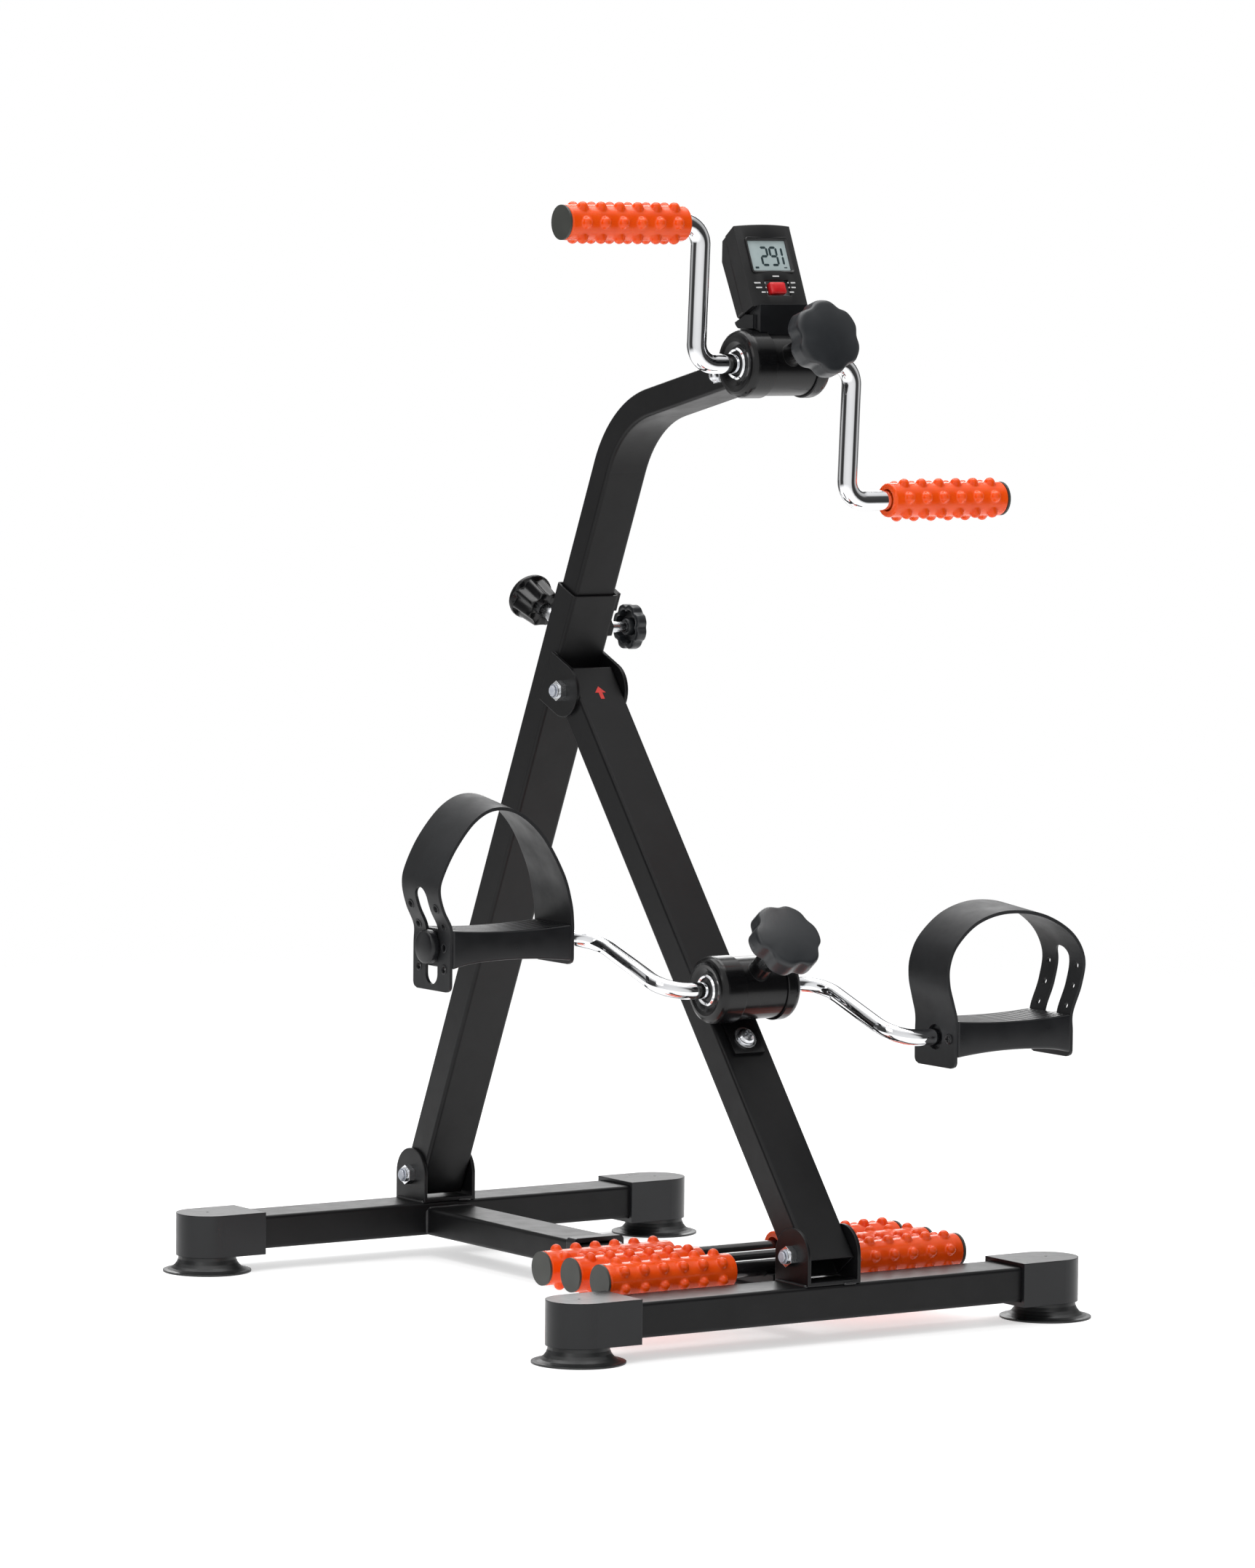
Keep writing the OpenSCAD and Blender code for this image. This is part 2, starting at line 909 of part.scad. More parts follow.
// Cross bolt with a cap nut on the left
module upper_mount_bolt() {
    side = mast_w / 2 + fit;
    color(chrome)
        on_mast_bolt() {
            rod_x(3, -side - 4, side + 0.1);
            difference() {
                union() {
                    rod_x_hex(5.8, -side - 5, -side);
                    translate([-side - 5, 0, 0])
                        sphere(4.6);
                }
                rod_x(3 + fit, -side - 4 - fit, 0);
            }
            rod_x(5.5, side, side + 3.4);
        }
}

module upper_drum() {
    color(steel)
        on_hand_axis()
            drum(hand_rod_r);
}

module upper_left_crank() {
    color(chrome)
        on_hand_axis()
            left_arm(hand_crank_lean)
                crank_rod(hand_rod_r, hand_bend_r, left_grip_x + grip_len - plug_wall);
}

module upper_right_crank() {
    color(chrome)
        on_hand_axis()
            right_arm(hand_crank_lean)
                crank_rod(hand_rod_r, hand_bend_r, right_grip_x + grip_len - plug_wall);
}

// Frame of a grip, with its origin at the inner end of the sleeve
module on_left_grip() {
    on_hand_axis()
        left_arm(hand_crank_lean)
            translate([left_grip_x, 0, throw])
                children();
}

module on_right_grip() {
    on_hand_axis()
        right_arm(hand_crank_lean)
            translate([right_grip_x, 0, throw])
                children();
}

module grip_end_plug() {
    difference() {
        rod_x(sleeve_r - 0.1, grip_len - plug_t, grip_len);
        rod_x(hand_rod_r + fit, grip_len - plug_t - 1, grip_len - plug_wall + fit);
    }
}

module grip_end_plugs() {
    color(plug_grey) {
        on_left_grip()
            grip_end_plug();
        on_right_grip()
            grip_end_plug();
    }
}

module left_grip() {
    color(orange)
        on_left_grip()
            bumpy_sleeve(grip_len - plug_t - slide_gap, hand_rod_r + slide_gap, grip_pitch, 30);
}

module right_grip() {
    color(orange)
        on_right_grip()
            bumpy_sleeve(grip_len - plug_t - slide_gap, hand_rod_r + slide_gap, grip_pitch, 20);
}

module upper_brake_pad() {
    color(steel)
        on_hand_axis()
            brake_pad(hand_screw_rise);
}

module upper_tension_screw() {
    color(chrome)
        on_hand_axis()
            tension_screw(hand_screw_rise);
}

module upper_tension_knob() {
    color(plastic_black)
        on_hand_axis()
            tension_knob(hand_screw_rise);
}

// Display

face_bow = 3;
case_depth = 24;
face_arc_r = (pow(case_w / 2, 2) + pow(face_bow, 2)) / (2 * face_bow);
case_wall = 2;
split_y = 12;

// Solid block of the display case, grown inwards by the given inset
module case_block(inset) {
    d = inset;
    intersection() {
        translate([-case_w / 2 + d, 0, 0])
            rotate([90, 0, 90])
                linear_extrude(case_w - 2 * d)
                    polygon([[-face_bow + d, d], [-face_bow + d, case_h - d], [0, case_h - d],
                             [17.9 - d * 0.6, case_h - 4.2 - d], [case_depth - d, case_h - 17.5],
                             [21.5 - d, -1 + d], [0, d]]);
        translate([0, face_arc_r - face_bow + d, -5])
            cylinder(r = face_arc_r, h = case_h + 10, $fn = 128);
    }
}

module display_front() {
    color(plastic_black)
        on_display()
            difference() {
                case_block(0);
                case_block(case_wall);
                translate([-case_w, split_y, -10])
                    cube([2 * case_w, 40, case_h + 20]);
                translate([-17, -10, 26])
                    cube([34, 20, 24.5]);
                translate([-10.5, -10, 7])
                    cube([21, 20, 12]);
            }
}

module display_back() {
    color(plastic_black)
        on_display()
            difference() {
                case_block(0);
                case_block(case_wall);
                translate([-case_w, split_y + fit - 60, -10])
                    cube([2 * case_w, 60, case_h + 20]);
            }
}

// Liquid crystal panel behind the window, and the circuit board behind it
module display_lcd() {
    color([0.72, 0.78, 0.74])
        on_display() {
            translate([-16.9, -0.6, 26.1])
                cube([33.8, 2.4, 24.3]);
            translate([-20, 3.5, 4])
                cube([40, 1.6, 50]);
        }
}

module mode_button() {
    color([0.84, 0.13, 0.15])
        on_display()
            translate([0, -face_bow - 0.4, 13])
                rotate([-90, 0, 0])
                    linear_extrude(5)
                        rounded_rect(13, 8.5, 2);
}

// Bracket that stands on the hand housing and carries the display
module display_bracket() {
    color(plastic_black)
        difference() {
            union() {
                translate([-20, hand_y - 10, hand_z + 18])
                    cube([40, 24, 26]);
                translate([0, hand_y + 12, hand_z + 31])
                    rod_x(6.5, -22, 22);
                translate([-22, hand_y - 4, hand_z + housing_cap_r + 0.4])
                    cube([44, 18, 10]);
            }
            on_hand_axis()
                rod_x(barrel_r + fit, -40, 40);
            on_hand_axis()
                housing_cap_space();
            on_display()
                translate([0, 0, -0.1])
                    bracket_relief();
        }
}

// Room kept free for the display case
module bracket_relief() {
    translate([-case_w, -20, 0])
        rotate([90, 0, 90])
            linear_extrude(2 * case_w)
                polygon([[0, 0], [20, 0], [41.5, -1.1], [60, -1.1], [60, 80], [0, 80]]);
}

// Strut and foot crank unit

module strut_tube() {
    color(frame_black)
        on_strut()
            difference() {
                tube_z(tube_w, tube_t, tube_wall, -tube_tail, strut_len + tube_tail);
                rod_x(bolt_r + fit, -30, 30);
                translate([0, 0, strut_len])
                    rod_x(bolt_r + fit, -30, 30);
                mount_bolt_hole();
            }
}

// Barrel welded to a plate that lies on the strut's front face
module lower_housing() {
    color(plastic_black)
        difference() {
            union() {
                on_foot_axis()
                    housing_barrel(foot_screw_rise);
                on_strut() {
                    translate([-plate_half, -tube_t / 2 - plate_t, foot_axis_along - plate_down])
                        cube([2 * plate_half, plate_t - fit, plate_down + plate_up]);
                }
            }
            on_foot_axis()
                rod_x(barrel_in, -barrel_half - 1, barrel_half + 1);
            on_foot_axis()
                housing_cap_space();
            on_strut()
                mount_bolt_hole();
        }
}

// Hole for the bolt that holds the foot housing's plate to the strut
module mount_bolt_hole() {
    translate([0, -30, foot_axis_along - mount_bolt_down])
        rotate([-90, 0, 0])
            cylinder(r = 3 + fit, h = 25);
}

module lower_caps() {
    color(plastic_black)
        on_foot_axis()
            housing_caps();
}

module lower_hub_rings() {
    color(chrome)
        on_foot_axis()
            both_ends()
                hub_ring();
}

module lower_bearings() {
    color(plastic_black)
        on_foot_axis()
            both_ends()
                hub_bearing(foot_rod_r);
}

module lower_mount_bolt() {
    color(chrome)
        on_strut()
            translate([0, -tube_t / 2 - plate_t - fit, foot_axis_along - mount_bolt_down])
                rotate([90, 0, 0])
                    difference() {
                        union() {
                            cylinder(r = 8.5, h = 1.2);
                            translate([0, 0, 1.2])
                                rotate_extrude()
                                    polygon([[0, 0], [6.6, 0], [6.2, 2], [5, 3.4], [3, 4.2], [0, 4.4]]);
                            translate([0, 0, -14])
                                cylinder(r = 3, h = 14.5);
                        }
                        translate([-3, -0.6, 3.6])
                            cube([6, 1.2, 4]);
                        translate([-0.6, -3, 3.6])
                            cube([1.2, 6, 4]);
                    }
}

module lower_drum() {
    color(steel)
        on_foot_axis()
            drum(foot_rod_r);
}

module lower_left_crank() {
    color(chrome)
        on_foot_axis()
            left_arm(-foot_crank_lean)
                crank_rod(foot_rod_r, foot_bend_r, pedal_x + pedal_len - 15);
}

module lower_right_crank() {
    color(chrome)
        on_foot_axis()
            right_arm(-foot_crank_lean)
                crank_rod(foot_rod_r, foot_bend_r, pedal_x + pedal_len - 15);
}

module lower_brake_pad() {
    color(steel)
        on_foot_axis()
            brake_pad(foot_screw_rise);
}

module lower_tension_screw() {
    color(chrome)
        on_foot_axis()
            tension_screw(foot_screw_rise);
}

module lower_tension_knob() {
    color(plastic_black)
        on_foot_axis()
            tension_knob(foot_screw_rise);
}

// Pedals

strap_t = 2.4;
strap_w = 46;
strap_gap = 0.2;
spindle_cap_r = 12.2;

// Frame of a pedal: the spindle runs along X, and the pedal is level
module on_left_pedal() {
    translate([0, foot_y + throw * sin(foot_crank_lean), foot_z + throw * cos(foot_crank_lean)])
        mirror([1, 0, 0])
            children();
}

module on_right_pedal() {
    translate([0, foot_y - throw * sin(foot_crank_lean), foot_z - throw * cos(foot_crank_lean)])
        children();
}

// Waisted pedal body with ribs across its top, and a peg for the strap at its outer end
module pedal_body() {
    x1 = pedal_x + pedal_len;
    h = pedal_h / 2;
    waist_r = 640;
    difference() {
        translate([pedal_x, 0, 0])
            rotate([90, 0, 0])
                linear_extrude(pedal_depth, center = true)
                    difference() {
                        translate([0, -h])
                            square([pedal_len, pedal_h]);
                        translate([pedal_len / 2, -h - waist_r + 3.2])
                            circle(waist_r, $fn = 360);
                        translate([pedal_len / 2, h + waist_r - 2.2])
                            circle(waist_r, $fn = 360);
                    }
        rod_x(foot_rod_r + slide_gap, 90, pedal_x + pedal_len - 14);
        for (i = [-4:4])
            translate([pedal_x + 6, i * 5 - 0.8, h - 2.6])
                cube([pedal_len - 12, 1.6, 6]);
    }
    rod_x(3, x1 - 0.2, x1 + strap_t + 1.6);
    translate([x1 + strap_t + 0.6, 0, 0])
        rotate([0, 90, 0])
            rotate_extrude()
                polygon([[0, 0], [spindle_cap_r - 0.5, 0], [spindle_cap_r, 1], [spindle_cap_r - 0.5, 4.5],
                         [spindle_cap_r - 2.5, 6.4], [spindle_cap_r - 6, 7.4], [0, 7.8]]);
}

module left_pedal() {
    color(plastic_black)
        on_left_pedal()
            pedal_body();
}

module right_pedal() {
    color(plastic_black)
        on_right_pedal()
            pedal_body();
}

// Point at t between b and c on a smooth curve that passes through a, b, c and d
function spline(a, b, c, d, t) =
    (2 * b + (c - a) * t + (2 * a - 5 * b + 4 * c - d) * t * t + (3 * b - a - 3 * c + d) * t * t * t) / 2;

// Unit normal of a path of points at index i
function path_normal(pts, i) =
    let (a = pts[max(i - 1, 0)], b = pts[min(i + 1, len(pts) - 1)], d = b - a)
    [-d[1], d[0]] / norm(d);

// Centre line of a strap: up the pedal's inner end, over the foot through the points of its arch, and
// down the outer end past the spindle cap to the tail
function strap_path(arch, tab, tail) =
    let (
        xi = pedal_x - strap_t / 2 - strap_gap,
        xo = pedal_x + pedal_len + strap_t / 2 + strap_gap,
        up = pedal_h / 2 + 1,
        p = concat([[xi, -tab], [xi, up]], arch, [[xo, up], [xo, -tail]])
    )
    concat(
        [p[0]],
        [for (i = [1:len(p) - 3]) for (t = [0:0.2:0.9]) spline(p[i - 1], p[i], p[i + 1], p[i + 2], t)],
        [p[len(p) - 2], p[len(p) - 1]]
    );

module strap_band(arch, tab, tail) {
    pts = strap_path(arch, tab, tail);
    n = len(pts);
    outer = [for (i = [0:n - 1]) pts[i] + path_normal(pts, i) * strap_t / 2];
    inner = [for (i = [n - 1:-1:0]) pts[i] - path_normal(pts, i) * strap_t / 2];
    difference() {
        rotate([90, 0, 0])
            linear_extrude(strap_w, center = true)
                polygon(concat(outer, inner));
        rod_x(foot_rod_r + 2, pedal_x - 8, pedal_x + 8);
        rod_x(3 + slide_gap, pedal_x + pedal_len - 5, pedal_x + pedal_len + 8);
    }
}

module left_strap() {
    color(plastic_black)
        on_left_pedal()
            strap_band([[107, 45], [126, 80], [163, 101], [199, 78], [213, 45]], 16, 31);
}

module right_strap() {
    color(plastic_black)
        on_right_pedal()
            strap_band([[95, 42], [107, 72], [147, 90], [194, 79], [214, 50]], 21, 18);
}

rear_base_frame();
rear_foot_caps();
rear_suction_cups();
base_collar();
rear_pivot_bolt();
front_base_frame();
front_foot_caps();
front_suction_cups();
front_pivot_bolt();
snap_button();
roller_rods();
roller_end_plugs();
roller_front_left();
roller_front_right();
roller_middle_left();
roller_middle_right();
roller_rear_left();
roller_rear_right();
upright_frame();
top_pivot_bolt();
height_knob();
height_pin();
clamp_knob();
clamp_screw();
mast_tube();
upper_housing();
upper_caps();
upper_hub_rings();
upper_bearings();
upper_mount_bolt();
upper_drum();
upper_left_crank();
upper_right_crank();
grip_end_plugs();
left_grip();
right_grip();
upper_brake_pad();
upper_tension_screw();
upper_tension_knob();
display_bracket();
display_front();
display_back();
display_lcd();
mode_button();
strut_tube();
lower_housing();
lower_caps();
lower_hub_rings();
lower_bearings();
lower_mount_bolt();
lower_drum();
lower_left_crank();
lower_right_crank();
left_pedal();
right_pedal();
left_strap();
right_strap();
lower_brake_pad();
lower_tension_screw();
lower_tension_knob();
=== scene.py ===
"""Looks of a folding hand-and-foot pedal exerciser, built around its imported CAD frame.

Lengths in the builders are millimetres. Frames (4x4 matrices in metres) come from the CAD joints.
"""
import json
import math

import bmesh
import bpy
from mathutils import Matrix, Vector


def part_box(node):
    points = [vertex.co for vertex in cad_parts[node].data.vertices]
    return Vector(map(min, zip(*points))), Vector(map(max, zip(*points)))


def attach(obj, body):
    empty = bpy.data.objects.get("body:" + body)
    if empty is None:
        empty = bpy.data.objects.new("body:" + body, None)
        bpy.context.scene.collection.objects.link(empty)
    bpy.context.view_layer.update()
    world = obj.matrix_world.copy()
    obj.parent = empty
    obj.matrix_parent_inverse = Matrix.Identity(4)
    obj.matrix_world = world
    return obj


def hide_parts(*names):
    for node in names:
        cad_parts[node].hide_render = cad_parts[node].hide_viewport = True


MM = 0.001
TAU = 2 * math.pi

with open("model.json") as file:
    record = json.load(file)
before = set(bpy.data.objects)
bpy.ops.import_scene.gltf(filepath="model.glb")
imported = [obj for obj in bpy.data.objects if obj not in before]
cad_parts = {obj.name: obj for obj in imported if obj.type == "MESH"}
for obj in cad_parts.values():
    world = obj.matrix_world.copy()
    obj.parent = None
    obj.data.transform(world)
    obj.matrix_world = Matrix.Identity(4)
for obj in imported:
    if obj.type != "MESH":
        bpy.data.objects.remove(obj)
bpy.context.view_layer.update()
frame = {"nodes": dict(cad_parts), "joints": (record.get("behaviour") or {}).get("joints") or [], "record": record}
JOINTS = {j["name"]: j for j in frame["joints"]}
SLOT_OF = {s["node"]: s["material_slot"] for s in frame["record"]["subparts"]}


# ---------------------------------------------------------------- frames

def frame_at(origin, z_axis, x_axis=(1, 0, 0)):
    """Matrix whose Z is z_axis, whose X is x_axis, and whose origin is in metres."""
    z = Vector(z_axis).normalized()
    x = Vector(x_axis).normalized()
    y = z.cross(x)
    m = Matrix((x, y, z)).transposed().to_4x4()
    m.translation = Vector(origin)
    return m


def pos(joint):
    return Vector(JOINTS[joint]["pos_m"])


def axis(joint):
    return Vector(JOINTS[joint]["axis"])


def shift(x=0.0, y=0.0, z=0.0):
    return Matrix.Translation(Vector((x, y, z)) * MM)


UPRIGHT = frame_at(pos("frame_fold"), axis("mast_height"))
STRUT = frame_at(pos("base_fold"), pos("strut_fold") - pos("base_fold"))
HAND = Matrix.Translation(pos("hand_crank_spin"))
FOOT = Matrix.Translation(pos("foot_crank_spin"))
PRESS = axis("mode_press")
CASE = frame_at(HAND.translation + Vector((0, -6, 40.5)) * MM, Vector((1, 0, 0)).cross(PRESS))


# ---------------------------------------------------------------- mesh helpers

def finish_mesh(name, bm, place, look, body, smooth_angle=35, replaces=()):
    """Turns a bmesh in millimetres into a piece at the given frame, riding on a body."""
    bmesh.ops.remove_doubles(bm, verts=bm.verts, dist=1e-4)
    bmesh.ops.recalc_face_normals(bm, faces=bm.faces)
    mesh = bpy.data.meshes.new(name)
    bm.to_mesh(mesh)
    bm.free()
    mesh.transform(place @ Matrix.Scale(MM, 4))
    if place.to_3x3().determinant() < 0:
        mesh.flip_normals()
    obj = bpy.data.objects.new(name, mesh)
    bpy.context.scene.collection.objects.link(obj)
    mesh.shade_smooth()
    if smooth_angle < 180:
        mesh.set_sharp_from_angle(angle=math.radians(smooth_angle))
    mesh.materials.append(MATERIALS[look])
    if replaces:
        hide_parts(*replaces)
    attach(obj, body)
    return obj


def bridge(bm, a, b, closed=True):
    """Quads between two rows of vertices of equal length."""
    n = len(a)
    for i in range(n if closed else n - 1):
        j = (i + 1) % n
        bm.faces.new((a[i], a[j], b[j], b[i]))


def ring(bm, points):
    return [bm.verts.new(p) for p in points]


def fan(bm, loop, tip):
    """Triangles from a closed row of vertices to a point."""
    v = bm.verts.new(tip)
    n = len(loop)
    for i in range(n):
        bm.faces.new((loop[i], loop[(i + 1) % n], v))


def arc(cx, cy, r, a0, a1, steps):
    """Points on an arc, angles in degrees."""
    out = []
    for i in range(steps + 1):
        a = math.radians(a0 + (a1 - a0) * i / steps)
        out.append((cx + r * math.cos(a), cy + r * math.sin(a)))
    return out


def spline(points, steps):
    """Smooth curve through points; the ends are straight continuations."""
    pts = [Vector(p) for p in points]
    ext = [2 * pts[0] - pts[1]] + pts + [2 * pts[-1] - pts[-2]]
    out = []
    for i in range(1, len(ext) - 2):
        a, b, c, d = ext[i - 1:i + 3]
        for k in range(steps):
            t = k / steps
            out.append((2 * b + (c - a) * t + (2 * a - 5 * b + 4 * c - d) * t * t
                        + (3 * b - a - 3 * c + d) * t ** 3) / 2)
    out.append(pts[-1])
    return out


def revolve(bm, profile, segments=96, wave=None):
    """Closed revolve about Z of (radius, z, share) points that start and end on the axis.

    wave(angle) is a cut into the radius, scaled by each point's share."""
    rows = []
    for r, z, share in profile:
        row = []
        for i in range(segments):
            a = TAU * i / segments
            cut = wave(a) * share if wave else 0
            row.append((math.cos(a) * (r - cut), math.sin(a) * (r - cut), z))
        rows.append(row)
    loops = [ring(bm, row) for row in rows[1:-1]]
    fan(bm, loops[0], (0, 0, profile[0][1]))
    for a, b in zip(loops, loops[1:]):
        bridge(bm, a, b)
    fan(bm, loops[-1], (0, 0, profile[-1][1]))


# ---------------------------------------------------------------- materials

MATERIALS = {}


class Look:
    """Node-based material: colour drift, roughness drift, fine bump and rounded edges."""

    def __init__(self, name):
        self.material = bpy.data.materials.new(name)
        self.material.use_nodes = True
        self.tree = self.material.node_tree
        self.shader = self.tree.nodes["Principled BSDF"]
        self.coords = self.tree.nodes.new("ShaderNodeTexCoord")
        MATERIALS[name] = self.material

    def node(self, kind, **values):
        made = self.tree.nodes.new(kind)
        for key, value in values.items():
            if key in made.inputs:
                made.inputs[key].default_value = value
            else:
                setattr(made, key, value)
        return made

    def link(self, a, a_out, b, b_in):
        self.tree.links.new(a.outputs[a_out], b.inputs[b_in])

    def noise(self, scale, detail=4.0, roughness=0.55, stretch=None):
        """Noise in object space; scale is waves per metre."""
        made = self.node("ShaderNodeTexNoise", Scale=scale, Detail=detail, Roughness=roughness)
        if stretch:
            mapping = self.node("ShaderNodeMapping", Scale=stretch)
            self.link(self.coords, "Object", mapping, "Vector")
            self.link(mapping, "Vector", made, "Vector")
        else:
            self.link(self.coords, "Object", made, "Vector")
        return made

    def colours(self, dark, light, scale, low=0.35, high=0.65):
        ramp = self.node("ShaderNodeValToRGB")
        ramp.color_ramp.elements[0].position = low
        ramp.color_ramp.elements[0].color = (*dark, 1)
        ramp.color_ramp.elements[1].position = high
        ramp.color_ramp.elements[1].color = (*light, 1)
        self.link(self.noise(scale), "Fac", ramp, "Fac")
        self.link(ramp, "Color", self.shader, "Base Color")
        return ramp

    def rough(self, low, high, scale, stretch=None):
        span = self.node("ShaderNodeMapRange")
        span.inputs["From Min"].default_value = 0.3
        span.inputs["From Max"].default_value = 0.7
        span.inputs["To Min"].default_value = low
        span.inputs["To Max"].default_value = high
        self.link(self.noise(scale, 6.0, stretch=stretch), "Fac", span, "Value")
        self.link(span, "Result", self.shader, "Roughness")

    def relief(self, *layers, edge=0.0):
        """Bump layers of (scale, depth in mm, stretch), over edges rounded to edge millimetres."""
        last = None
        if edge:
            last = self.node("ShaderNodeBevel", samples=6, Radius=edge * MM)
        for scale, depth, *rest in layers:
            bump = self.node("ShaderNodeBump", Strength=1.0, Distance=depth * MM)
            self.link(self.noise(scale, 3.0, stretch=rest[0] if rest else None), "Fac", bump, "Height")
            if last:
                self.link(last, "Normal", bump, "Normal")
            last = bump
        if last:
            self.link(last, "Normal", self.shader, "Normal")

    def painted_edge_highlight(self, base, colour, amount, radius):
        """Painted highlight: lightens corners, where the rounded normal leaves the true one, as if the edges
        caught the light.
        """
        bevel = self.node("ShaderNodeBevel", samples=6, Radius=radius * MM)
        geometry = self.node("ShaderNodeNewGeometry")
        dot = self.node("ShaderNodeVectorMath", operation="DOT_PRODUCT")
        self.link(bevel, "Normal", dot, 0)
        self.link(geometry, "Normal", dot, 1)
        span = self.node("ShaderNodeMapRange")
        span.inputs["From Min"].default_value = 0.995
        span.inputs["From Max"].default_value = 0.86
        span.inputs["To Max"].default_value = amount
        self.link(dot, "Value", span, "Value")
        mix = self.node("ShaderNodeMix", data_type="RGBA")
        mix.inputs["B"].default_value = (*colour, 1)
        self.link(span, "Result", mix, "Factor")
        self.link(base, "Color", mix, "A")
        self.link(mix, "Result", self.shader, "Base Color")

    def set(self, **values):
        for key, value in values.items():
            self.shader.inputs[key.replace("_", " ")].default_value = value


def paint_looks():
    coat = Look("powder_coat")
    base = coat.colours((0.0042, 0.0042, 0.0047), (0.0062, 0.0062, 0.0068), 18)
    # painted highlight: lighter colour along the rounded edges of the powder coat
    coat.painted_edge_highlight(base, (0.05, 0.05, 0.053), 0.5, 0.9)
    coat.rough(0.33, 0.43, 60)
    coat.relief((1500, 0.022), (320, 0.03), edge=1.1)
    coat.set(Specular_IOR_Level=0.24)

    axle = Look("axle_paint")
    axle.colours((0.006, 0.006, 0.0065), (0.009, 0.009, 0.0095), 25)
    axle.rough(0.16, 0.26, 90)
    axle.relief((700, 0.01), edge=0.3)
    axle.set(Coat_Weight=0.5, Coat_Roughness=0.12)

    weld = Look("weld_paint")
    weld.colours((0.009, 0.009, 0.01), (0.016, 0.016, 0.017), 220)
    weld.rough(0.3, 0.45, 200)
    weld.relief((900, 0.06), (300, 0.12))


def moulded_looks():
    """Black mouldings, from rough to glossy."""
    foot = Look("black_moulding")
    base = foot.colours((0.0068, 0.0072, 0.0084), (0.0096, 0.0101, 0.0117), 35)
    # painted highlight: lighter colour along the rounded edges of the moulding
    foot.painted_edge_highlight(base, (0.045, 0.047, 0.05), 0.4, 0.8)
    foot.rough(0.27, 0.36, 70)
    foot.relief((2600, 0.01), edge=0.9)
    foot.set(Specular_IOR_Level=0.38)

    knob = Look("knob_black")
    base = knob.colours((0.0125, 0.0145, 0.0172), (0.0165, 0.019, 0.0222), 40)
    # painted highlight: lighter colour along the knob's rounded edges
    knob.painted_edge_highlight(base, (0.05, 0.054, 0.06), 0.3, 0.8)
    knob.rough(0.34, 0.45, 60)
    knob.relief((2400, 0.012), edge=0.4)
    knob.set(Coat_Weight=0.08, Coat_Roughness=0.25)

    case = Look("case_black")
    base = case.colours((0.0085, 0.0085, 0.009), (0.012, 0.012, 0.0127), 40)
    # painted highlight: lighter colour along the case's rounded edges
    case.painted_edge_highlight(base, (0.04, 0.04, 0.042), 0.35, 0.7)
    case.rough(0.32, 0.42, 60)
    case.relief((3200, 0.012), edge=0.8)

    strap = Look("strap_black")
    base = strap.colours((0.0105, 0.011, 0.0122), (0.0155, 0.0163, 0.018), 30)
    # painted highlight: lighter colour along the strap's rounded edges
    strap.painted_edge_highlight(base, (0.045, 0.047, 0.05), 0.35, 0.6)
    strap.rough(0.4, 0.56, 45)
    strap.relief((2000, 0.016), (160, 0.05), edge=0.3)
    strap.set(Specular_IOR_Level=0.35)

    cup = Look("cup_rubber")
    cup.colours((0.0085, 0.009, 0.0095), (0.012, 0.0128, 0.0135), 50)
    cup.rough(0.34, 0.44, 60)
    cup.relief((900, 0.003), edge=0.8)
    cup.set(Coat_Weight=0.1, Coat_Roughness=0.3)

    gloss = Look("gloss_black")
    gloss.colours((0.003, 0.003, 0.0034), (0.0045, 0.0045, 0.005), 30)
    gloss.rough(0.2, 0.28, 80)
    gloss.relief((260, 0.012), edge=0.6)
    gloss.set(Specular_IOR_Level=0.3, Coat_Weight=0.12, Coat_Roughness=0.06)

    nylon = Look("bearing_nylon")
    nylon.colours((0.012, 0.012, 0.013), (0.02, 0.02, 0.022), 120)
    nylon.rough(0.35, 0.5, 200)
    nylon.relief((1500, 0.02), edge=0.3)

    plug = Look("plug_grey")
    base = plug.colours((0.038, 0.041, 0.036), (0.05, 0.053, 0.047), 60)
    # painted highlight: lighter grey along the plug's rounded edges
    plug.painted_edge_highlight(base, (0.1, 0.1, 0.09), 0.3, 0.5)
    plug.rough(0.42, 0.55, 120)
    plug.relief((2600, 0.014), edge=0.6)


def metal_looks():
    chrome = Look("chrome_rod")
    chrome.colours((0.80, 0.81, 0.83), (0.88, 0.885, 0.9), 20)
    chrome.rough(0.03, 0.085, 40)
    chrome.relief((90, 0.02), (1400, 0.001), edge=0.3)
    chrome.set(Metallic=1.0)

    zinc = Look("zinc_hardware")
    zinc.colours((0.62, 0.635, 0.66), (0.8, 0.81, 0.83), 300)
    zinc.rough(0.14, 0.3, 260)
    zinc.relief((1800, 0.008), edge=0.35)
    zinc.set(Metallic=1.0)

    steel = Look("brake_steel")
    steel.colours((0.42, 0.43, 0.45), (0.55, 0.56, 0.58), 150)
    steel.rough(0.25, 0.4, 60, stretch=(40, 1, 1))
    steel.relief((400, 0.01, (30, 1, 1)), edge=0.3)
    steel.set(Metallic=1.0)


